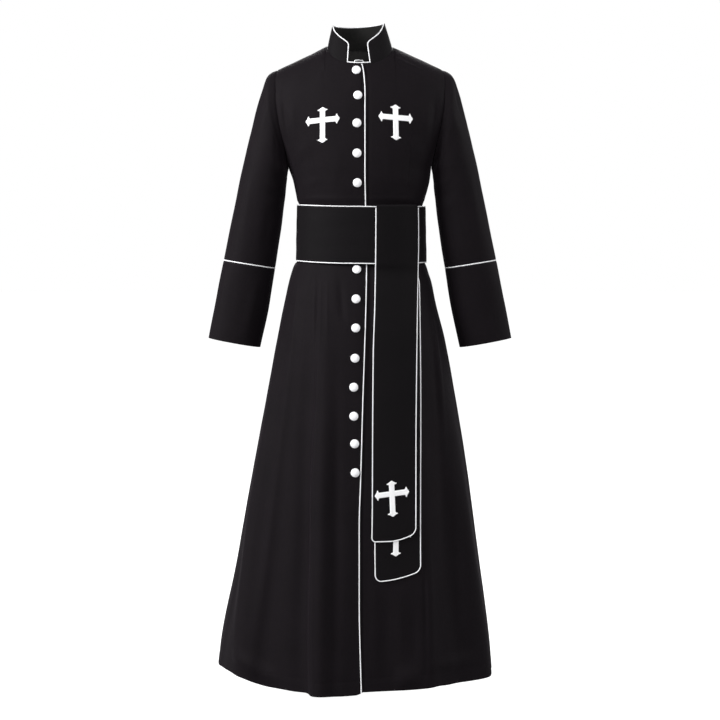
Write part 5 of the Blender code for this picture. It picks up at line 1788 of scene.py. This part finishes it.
def strip_ripple(x, level):
    """Slow waves of a hanging strip."""
    waves = (np.sin(level * 19 + x * 31) * np.sin(x * 47 + level * 5)
             + 0.5 * np.sin(level * 43 - x * 23))
    return STRIP_RIPPLE * waves * smooth_step((SKIRT_TOP - level) / 0.1)


def tail_wall(tail, x, level):
    """The middle of a strip's wall, moved towards the front by the strip's waves."""
    ripple = strip_ripple(x, level)
    shift = np.stack([0 * ripple, -ripple, 0 * ripple], -1)
    return strip_point(x, level, tail["clear"], tail["over"]) + shift


def fold_over(middle, normal):
    """Adds the turn over the band's top edge, half of an ellipse, and the tuck behind it."""
    edge = middle[0]
    inward = -normal[0] * [1, 1, 0]
    inward /= np.linalg.norm(inward, axis=-1, keepdims=True)
    up = np.array([0, 0, 1])
    rows = [edge + inward * 2 * FOLD_RADIUS - up * FOLD_TUCK]
    facing = [inward]
    for turn in np.linspace(math.pi, 0, 18)[:-1]:
        rows.append(edge + inward * FOLD_RADIUS * (1 - math.cos(turn))
                    + up * FOLD_RISE * math.sin(turn))
        facing.append(up * math.sin(turn) - inward * math.cos(turn))
    return np.vstack([np.array(rows), middle]), np.vstack([np.array(facing), normal])


def tail_edge(tail):
    """The line of a strip's free edges and the line of its piping, set out by its reach."""
    down = np.linspace(0.004 if tail["over"] else 0.0, 1, 260)
    across = eased(60)
    left = tail_xz(tail, np.zeros(len(down)), down)
    foot = tail_xz(tail, across[1:-1], np.ones(len(across) - 2))
    right = tail_xz(tail, np.ones(len(down)), down[::-1])
    flat = np.hstack([np.stack(left), np.stack(foot), np.stack(right)]).T
    step = np.gradient(flat, axis=0)
    step /= np.linalg.norm(step, axis=1, keepdims=True)
    moved = flat + np.stack([step[:, 1], -step[:, 0]], -1) * PIPE_REACH
    return [tail_wall(tail, *line.T) for line in (flat, moved)]


class CASSOCK_OT_cincture(bpy.types.Operator):
    """Make the cincture's band, the strip's two hanging ends and the cords along them."""
    bl_idname = "cassock.cincture"
    bl_label = "Cincture"

    def execute(self, context):
        trim = PIPE_REACH / (BAND_TOP - BAND_FOOT)
        around = np.linspace(-2, 2, 380, endpoint=False)
        u, height = np.meshgrid(around, trim + (1 - 2 * trim) * eased(30))
        middle = band_point(u, height)
        normal = band_normal(u, height)
        from_edge = np.minimum(height - trim, 1 - trim - height) * (BAND_TOP - BAND_FOOT)
        half = STIFF_WALL / 2 * (1 - 0.5 * np.exp(-(from_edge / THIN_EDGE) ** 2))
        ripple = band_ripple(u, height)
        band = two_walls("cincture_band", middle + normal * (ripple + half)[..., None],
                         middle + normal * (ripple - half)[..., None], faced_cloth(), ring=True)
        finished(band, "cincture_band")
        for name, edge, inside in (("band_piping_top", 1.0, 1 - trim),
                                   ("band_piping_foot", 0.0, trim)):
            path = band_point(around, edge)
            piping(name, path, band_point(around, inside) - path, ring=True)
        for name, tail in TAILS.items():
            self.strip(name, tail)
        return {"FINISHED"}

    def strip(self, name, tail):
        """One hanging end as a wall with drawn-in edges, and its cord."""
        near = EDGE_STEPS / (tail["head"] - tail["foot"])
        start = near if not tail["over"] else near[:1]
        down = np.concatenate([start, np.linspace(start[-1] + 0.005, 1 - near[-1] - 0.004, 190),
                               1 - near[::-1]])

        def surface(across, down):
            return tail_wall(tail, *tail_xz(tail, across, down))
        across, down = np.meshgrid(eased(38), down)
        middle = surface(across, down)
        normal = normals(surface, across, down, outward=-1.0, low=0.0, high=1.0)
        side = np.minimum(across, 1 - across) * TAIL_WIDTH
        below = lengths(middle[::-1], 0)[::-1]
        from_edge = np.minimum(side, below)
        if tail["over"]:
            rows = len(middle)
            middle, normal = fold_over(middle, normal)
            added = len(middle) - rows
            from_edge = np.vstack([side[:1].repeat(added, axis=0), from_edge])
        half = WALL / 2 * (1 - 0.55 * np.exp(-(from_edge / 0.0018) ** 2))
        offset = normal * half[..., None]
        piece = two_walls(name, middle + offset, middle - offset, faced_cloth())
        finished(piece, name)
        edge, path = tail_edge(tail)
        cord = piping(name + "_piping", *resampled(path, edge - path, CORD_STEP))


# ---- trims -----------------------------------------------
BUTTON_SHAPE = np.array([
    (0.000, 1.000), (0.120, 0.995), (0.250, 0.970), (0.380, 0.925), (0.500, 0.870),
    (0.620, 0.790), (0.740, 0.690), (0.850, 0.570), (0.930, 0.450), (0.980, 0.330),
    (1.000, 0.220), (0.985, 0.110), (0.940, 0.030), (0.880, 0.000), (0.500, 0.000),
    (0.000, 0.000)])


def button_seat(number):
    """Middle of a button's underside, just clear of the cloth under its rim, and its facing."""
    x, z = float(BUTTONS.at("x", number)), float(BUTTONS.at("height", number))
    level = level_of_height(x, z)
    u = u_of_x(x, level)
    facing = body_normal(u, level)
    around = np.linspace(0, 2 * math.pi, 12, endpoint=False)
    rim_x = x + BUTTON_RADIUS * np.cos(around)
    rim_level = level_of_height(rim_x, z + BUTTON_RADIUS * np.sin(around))
    rim = body_point(u_of_x(rim_x, rim_level), rim_level) - body_point(u, level)
    return on_body(u, level, LAP + GAP + max(0.0, float((rim @ facing).max()))), facing


class CASSOCK_OT_buttons(bpy.types.Operator):
    """Make the thirteen covered buttons."""
    bl_idname = "cassock.buttons"
    bl_label = "Buttons"

    def execute(self, context):
        for number in BUTTONS.keys:
            self.button(int(number))
        return {"FINISHED"}

    def button(self, number):
        """A low dome turned about its facing. Towards the rim the cover is gathered, which
        lets the radius swell and shrink a little by the sine of the turn."""
        seat, facing = button_seat(number)
        aside = np.cross([0, 0, 1], facing)
        aside = aside / np.linalg.norm(aside)
        other = np.cross(facing, aside)
        count = 40
        angle = whole_turn(count)
        shape = BUTTON_SHAPE[1:-1]
        gather = 1 + 0.010 * smooth_step((shape[:, :1] - 0.7) / 0.3) * np.sin(angle * 11 + number)
        wide = shape[:, :1] * BUTTON_RADIUS * gather
        high = np.broadcast_to(shape[:, 1:] * BUTTON_RISE, wide.shape)
        points = (seat + wide[..., None] * (np.cos(angle)[None, :, None] * aside
                                            + np.sin(angle)[None, :, None] * other)
                  + high[..., None] * facing)
        place = np.stack([wide * np.cos(angle), wide * np.sin(angle)], -1)
        faces = grid_faces(len(shape), count, wrap_columns=True).tolist()
        points = np.vstack([points.reshape(-1, 3), [seat + BUTTON_RISE * facing], [seat]])
        place = np.vstack([place.reshape(-1, 2), [[0, 0], [0, 0]]])
        start = np.arange(count)
        last = start + (len(shape) - 1) * count
        top = np.full(count, len(points) - 2)
        faces += np.stack([start, np.roll(start, -1), top], -1).tolist()
        faces += np.stack([np.roll(last, -1), last, top + 1], -1).tolist()
        name = "button_%02d" % number
        finished(make_mesh(name, points, faces, place, white_cotton()), name)


# half width of an arm by the distance back from its point
ARM_END = Table("""
back half
0.0000 0.0005
0.0010 0.0024
0.0022 0.0041
0.0036 0.0061
0.0050 0.0090
0.0062 0.0114
0.0073 0.0109
0.0085 0.0078
0.0098 0.0062
0.0140 0.0061
""")


SATIN_EDGE = 0.0024              # from the outline in to the full height of the stitch
GROOVE_DEPTH = 0.30              # share of the height
GROOVE_WIDTH = 0.0005


def arm_grid(length, turn):
    """One arm of a cross lying flat, from the crossing to its point. Its width is cut to the
    mitre with its neighbours inside the crossing. Its height is a rounded step of the
    distance to the outline, with a groove down the middle. turn counts quarter turns."""
    back = np.concatenate([np.linspace(length, 0.015, 34), np.linspace(0.0145, 0, 42)])
    along = length - back
    half = np.where(along < CROSS_ARM, along, ARM_END.at("half", back))
    share = np.sin(np.linspace(-1, 1, 23) * math.pi / 2)
    along, half = along[:, None], half[:, None]
    across = share[None, :] * half
    inside = np.hypot(CROSS_ARM - along, CROSS_ARM - np.abs(across))
    from_edge = np.where(along < CROSS_ARM, inside, half - np.abs(across))
    from_edge = np.minimum(from_edge, length - along + 0 * across)
    step = 1 - np.clip(from_edge / SATIN_EDGE, 0, 1)
    height = np.sqrt(np.clip(1 - step ** 2.4, 0, None))
    groove = GROOVE_DEPTH * np.exp(-(across / GROOVE_WIDTH) ** 2)
    groove = groove * smooth_step((along - 0.002) / 0.004)
    groove = groove * smooth_step((length - along) / 0.006)
    height = np.clip(height - groove, 0, None)
    cos, sin = round(math.cos(turn * math.pi / 2)), round(math.sin(turn * math.pi / 2))
    x = along * cos - across * sin
    z = along * sin + across * cos
    place = np.stack(np.broadcast_arrays(across, along + 0 * across), -1)
    return np.stack([x, z, height + 0 * x], -1), place


def cross_place(name, x, z, lift):
    """Points of a cross on the cloth that carries it, lifted off it."""
    if name.startswith("cross_chest"):
        level = level_of_height(x, z)
        u = u_of_x(x, level)
        rise = closing_lift(u) if "right" in name else 0.0
        return on_body(u, level, rise + CROSS_LIFT + lift)
    tail = TAILS[name.replace("cross_", "")]

    def strip(x, level):
        return tail_wall(tail, x, level)
    facing = normals(strip, x, z)
    return strip(x, z) + facing * (WALL / 2 + CROSS_LIFT + lift)[..., None]


class CASSOCK_OT_crosses(bpy.types.Operator):
    """Make the four crosses, each of four arms in satin stitch that meet on mitres."""
    bl_idname = "cassock.crosses"
    bl_label = "Crosses"

    def execute(self, context):
        for name in CROSSES:
            self.cross(name)
        return {"FINISHED"}

    def cross(self, name):
        """The arms' upper faces, joined where they meet and given a wall."""
        x0, z0, arm_rise, shaft_lean = CROSSES[name]
        points, places, faces = [], [], []
        for turn, length in enumerate((CROSS_SIDE, CROSS_UPPER, CROSS_SIDE, CROSS_LOWER)):
            flat, place = arm_grid(length, turn)
            x = x0 + flat[..., 0] - shaft_lean * flat[..., 1]
            z = z0 + flat[..., 1] + arm_rise * flat[..., 0]
            lifted = cross_place(name, x, z, flat[..., 2] * trim_set().relief)
            faces += (grid_faces(*x.shape) + sum(len(p) for p in points)).tolist()
            points.append(lifted.reshape(-1, 3))
            places.append(place.reshape(-1, 2))
        piece = make_mesh(name, np.vstack(points), faces, np.vstack(places), white_thread())
        form = bmesh.new()
        form.from_mesh(piece.data)
        bmesh.ops.remove_doubles(form, verts=form.verts, dist=0.00001)
        bmesh.ops.recalc_face_normals(form, faces=form.faces)
        if sum(face.normal.y for face in form.faces) > 0:
            bmesh.ops.reverse_faces(form, faces=form.faces)
        form.to_mesh(piece.data)
        form.free()
        wall = piece.modifiers.new("wall", "SOLIDIFY")
        wall.thickness = CROSS_WALL
        wall.offset = -1.0
        finished(piece, name)


class CASSOCK_OT_hook(bpy.types.Operator):
    """Make the hook and eye that close the neck, two hairpins of bent wire."""
    bl_idname = "cassock.hook"
    bl_label = "Hook and eye"

    def execute(self, context):
        u, level = neckline(np.array([HOOK_X]))
        seat = on_body(u, level, LAP, creased=False)[0] + [0, HOOK_BACK, 1.6 * HOOK_WIRE]
        turn = np.linspace(-math.pi / 2, math.pi / 2, 24)
        bend = np.stack([HOOK_REACH - HOOK_LOOP + HOOK_LOOP * np.cos(turn), 0 * turn,
                         HOOK_LOOP + HOOK_LOOP * np.sin(turn)], -1)
        path = np.vstack([[[HOOK_REACH - HOOK_LOOP - HOOK_ARM, 0, 0]], bend,
                          [[-HOOK_OVER, 0, 2 * HOOK_LOOP]]])
        for name, sign, back in (("collar_hook", -1, 0.0), ("collar_eye", 1, 3 * HOOK_WIRE)):
            placed = path * [sign, 1, 1] + seat + [0, back, 0]
            placed, toward = resampled(placed, np.tile([0.0, 1.0, 0.0], (len(placed), 1)), 0.0005)
            wire = tube(name, placed, toward, plated_wire(), radius=HOOK_WIRE)
            finished(wire, name)
        return {"FINISHED"}


STITCH_ASIDE = 0.0026            # from a cord's seam to the stitches beside it
STITCH_HALF = 0.00028            # half width of a stitch
STITCH_SUNK = 0.00008            # how far a stitch's middle lies in the cloth
STITCH_SHARE = 0.68              # length of a stitch in the step from one to the next
STITCH_SIDES = 6


def stitch_row(path, facing, pitch):
    """Points and faces of a row of stitches along a path: each a bead of six-sided rings,
    wide at its middle, half sunk into the cloth on whose facing it lies."""
    run = lengths(path, 0)
    starts = np.arange(pitch / 2, run[-1] - pitch, pitch)
    fat = np.array([0.25, 0.85, 1.0, 0.85, 0.25]) * STITCH_HALF
    share = np.linspace(0, 1, len(fat))
    at = starts[:, None] + share[None, :] * pitch * STITCH_SHARE
    middle = np.stack([np.interp(at, run, path[:, k]) for k in range(3)], -1)
    up = np.stack([np.interp(at, run, facing[:, k]) for k in range(3)], -1)
    along = np.gradient(middle, axis=1)
    along /= np.linalg.norm(along, axis=-1, keepdims=True)
    aside = np.cross(along, up)
    aside /= np.linalg.norm(aside, axis=-1, keepdims=True)
    angle = whole_turn(STITCH_SIDES)
    ring = (np.cos(angle)[:, None] * aside[..., None, :]
            + 0.8 * np.sin(angle)[:, None] * up[..., None, :])
    points = (middle - STITCH_SUNK * up)[..., None, :] + ring * fat[None, :, None, None]
    body = grid_faces(len(fat), STITCH_SIDES, wrap_columns=True)
    caps = [[0, 5, 4, 3], [0, 3, 2, 1], [24, 25, 26, 27], [24, 27, 28, 29]]
    bead = np.vstack([body, caps])
    first = np.arange(len(starts)) * len(fat) * STITCH_SIDES
    faces = (bead[None] + first[:, None, None]).reshape(-1, 4)
    place = np.stack(np.broadcast_arrays(angle * 0.0003, at[..., None]), -1)
    return points.reshape(-1, 3), faces, place.reshape(-1, 2)


class CASSOCK_OT_stitching(bpy.types.Operator):
    """Make the rows of fine stitches beside the cords."""
    bl_idname = "cassock.stitching"
    bl_label = "Stitching"

    def execute(self, context):
        beside_cord = PIPE_REACH + STITCH_ASIDE
        levels = np.linspace(HEM + 0.004, NECK_TOP - CLOSING_TOP, 500)
        u = closing_edge_u(levels, -beside_cord)
        sunk = closing_lift(u) + edge_roll(STITCH_ASIDE)
        self.row("closing_stitches", on_body(u, levels, sunk), body_normal(u, levels))
        around = np.linspace(-2, 2, 380)
        reach = beside_cord / (BAND_TOP - BAND_FOOT)
        for name, height in (("band_stitches_top", 1 - reach), ("band_stitches_foot", reach)):
            facing = band_normal(around, height)
            lift = (STIFF_WALL / 2 + band_ripple(around, height))[:, None]
            self.row(name, band_point(around, height) + facing * lift, facing)
        run = np.linspace(COLLAR_START + 0.0075, COLLAR_END - 0.0075, 300)
        height = collar_top(run) - STITCH_ASIDE
        facing = normals(collar_point, run, height)
        self.row("collar_stitches", collar_point(run, height) - facing * 0.0001, facing)
        angle = np.linspace(0, 2 * math.pi, 200)
        along = CUFF_SEAM + sleeve_step() * beside_cord / PIPE_REACH
        facing = sleeve_normal(angle, along)
        path = sleeve_point(angle, along) - facing * 0.0002 + [ARMHOLE_GAP, 0, 0]
        for side, sign in SIDES:
            mirror = np.array([sign, 1, 1])
            self.row("cuff_stitches_" + side, path * mirror, facing * mirror)
        return {"FINISHED"}

    def row(self, name, path, facing):
        """One row of stitches as a piece of its own."""
        points, faces, place = stitch_row(path, facing, trim_set().stitch)
        piece = make_mesh(name, points, faces.tolist(), place, black_thread())


# ---- stage -----------------------------------------------
LIT_POINT = (0, 0, -0.7)
LIGHTS = {                       # place and size of each
    "key": ((-3.4, -1.6, 1.4), 1.8),
    "fill": ((3.6, 0.3, 1.1), 1.6),
    "front": ((0.4, -3.9, 1.6), 2.5),
    "back": ((0.0, 3.8, 1.8), 2.5),
}


def area_light(name, place, size, power):
    """A square area light at a place, turned to face the middle of the object."""
    lamp = bpy.data.lights.new(name, "AREA")
    lamp.shape = "SQUARE"
    lamp.size = size
    lamp.energy = power
    holder = linked(name, lamp)
    holder.location = place
    aim = Vector(LIT_POINT) - Vector(place)
    holder.rotation_euler = aim.to_track_quat("-Z", "Y").to_euler()


class CASSOCK_OT_stage(bpy.types.Operator):
    """Make the floor, the lights and the camera."""
    bl_idname = "cassock.stage"
    bl_label = "Stage"

    def execute(self, context):
        stage = context.scene.cassock_stage
        self.floor(stage)
        for name, (place, size) in LIGHTS.items():
            area_light(name, place, size, getattr(stage, name))
        self.surround(stage)
        camera = bpy.data.cameras.new("camera")
        camera.lens = stage.lens
        camera.sensor_width = 36
        holder = linked("camera", camera)
        holder.location = (0, -stage.distance, stage.height)
        holder.rotation_euler = (math.pi / 2 - stage.tilt, 0, 0)
        context.scene.camera = holder
        context.scene.view_settings.view_transform = "Standard"
        return {"FINISHED"}

    def floor(self, stage):
        """A wide pale disc, a little darker for the light that it throws back than to the eye."""
        count = 96
        angle = whole_turn(count)
        radius = np.array([[0.5], [2.0], [8.0], [40.0]])
        rings = len(radius)
        points = np.stack([radius * np.cos(angle), radius * np.sin(angle),
                           np.full((rings, count), stage.floor)], -1)
        mesh = bpy.data.meshes.new("floor")
        faces = grid_faces(rings, count, wrap_columns=True)[:, ::-1].tolist()
        faces.append(list(range(count)))
        mesh.from_pydata(points.reshape(-1, 3).tolist(), [], faces)
        mesh.update()
        material, wire, shader, places = new_material("pale floor")
        nap = placed_group(wire, "nap and handling", nap_group, Broad=0.8, Fine=6.0,
                           Vector=places.outputs["Object"], Amount=0.01)
        wire.feed(shader.inputs["Base Color"],
                  wire.shade((0.30, 0.30, 0.30), nap.outputs["Tone"]))
        shader.inputs["Roughness"].default_value = 0.9
        shader.inputs["Specular IOR Level"].default_value = 0.1
        shown = wire.tree.nodes.new("ShaderNodeEmission")
        shown.inputs["Strength"].default_value = 1.0
        lit = wire.tree.nodes.new("ShaderNodeAddShader")
        wire.tree.links.new(shader.outputs[0], lit.inputs[0])
        wire.tree.links.new(shown.outputs[0], lit.inputs[1])
        path = wire.tree.nodes.new("ShaderNodeLightPath")
        mix = wire.tree.nodes.new("ShaderNodeMixShader")
        wire.tree.links.new(path.outputs["Is Camera Ray"], mix.inputs["Fac"])
        wire.tree.links.new(shader.outputs[0], mix.inputs[1])
        wire.tree.links.new(lit.outputs[0], mix.inputs[2])
        wire.tree.links.new(mix.outputs[0],
                            wire.tree.nodes["Material Output"].inputs["Surface"])
        mesh.materials.append(material)
        linked("floor", mesh)

    def surround(self, stage):
        """White behind the object as the camera sees it, and a dimmer light from all round."""
        world = bpy.data.worlds.new("surround")
        world.use_nodes = True
        tree = world.node_tree
        seen = tree.nodes["Background"]
        seen.inputs["Color"].default_value = (1, 1, 1, 1)
        seen.inputs["Strength"].default_value = 1.0
        felt = tree.nodes.new("ShaderNodeBackground")
        felt.inputs["Color"].default_value = (1.0, 1.0, 1.0, 1)
        felt.inputs["Strength"].default_value = stage.around
        path = tree.nodes.new("ShaderNodeLightPath")
        mix = tree.nodes.new("ShaderNodeMixShader")
        tree.links.new(path.outputs["Is Camera Ray"], mix.inputs["Fac"])
        tree.links.new(felt.outputs[0], mix.inputs[1])
        tree.links.new(seen.outputs[0], mix.inputs[2])
        tree.links.new(mix.outputs[0], tree.nodes["World Output"].inputs["Surface"])
        bpy.context.scene.world = world


# ---- panel and registration ------------------------------
OPERATORS = [CASSOCK_OT_body_panels, CASSOCK_OT_sleeves, CASSOCK_OT_collar,
             CASSOCK_OT_closing_piping, CASSOCK_OT_cincture, CASSOCK_OT_buttons,
             CASSOCK_OT_crosses, CASSOCK_OT_hook, CASSOCK_OT_stitching, CASSOCK_OT_stage]
SETTINGS = {"cassock_cloth": ClothSettings, "cassock_trims": TrimSettings,
            "cassock_stage": StageSettings}


class CASSOCK_PT_panel(bpy.types.Panel):
    """The settings and the pieces, in the order in which they are made."""
    bl_label = "Cassock"
    bl_idname = "CASSOCK_PT_panel"
    bl_space_type = "VIEW_3D"
    bl_region_type = "UI"
    bl_category = "Cassock"

    def draw(self, context):
        for name, kind in SETTINGS.items():
            box = self.layout.box()
            for setting in kind.__annotations__:
                box.prop(getattr(context.scene, name), setting)
        for operator in OPERATORS:
            self.layout.operator(operator.bl_idname)


def register():
    """Makes the settings, the operators and the panel known."""
    for kind in [*SETTINGS.values(), *OPERATORS, CASSOCK_PT_panel]:
        bpy.utils.register_class(kind)
    for name, kind in SETTINGS.items():
        setattr(bpy.types.Scene, name, PointerProperty(type=kind))


def unregister():
    """Takes them away again."""
    for name in SETTINGS:
        delattr(bpy.types.Scene, name)
    for kind in [CASSOCK_PT_panel, *OPERATORS[::-1], *list(SETTINGS.values())[::-1]]:
        bpy.utils.unregister_class(kind)


def main():
    """Makes every piece and the stage."""
    register()
    for operator in OPERATORS:
        family, label = operator.bl_idname.split(".")
        getattr(getattr(bpy.ops, family), label)()


if __name__ == "__main__":
    main()
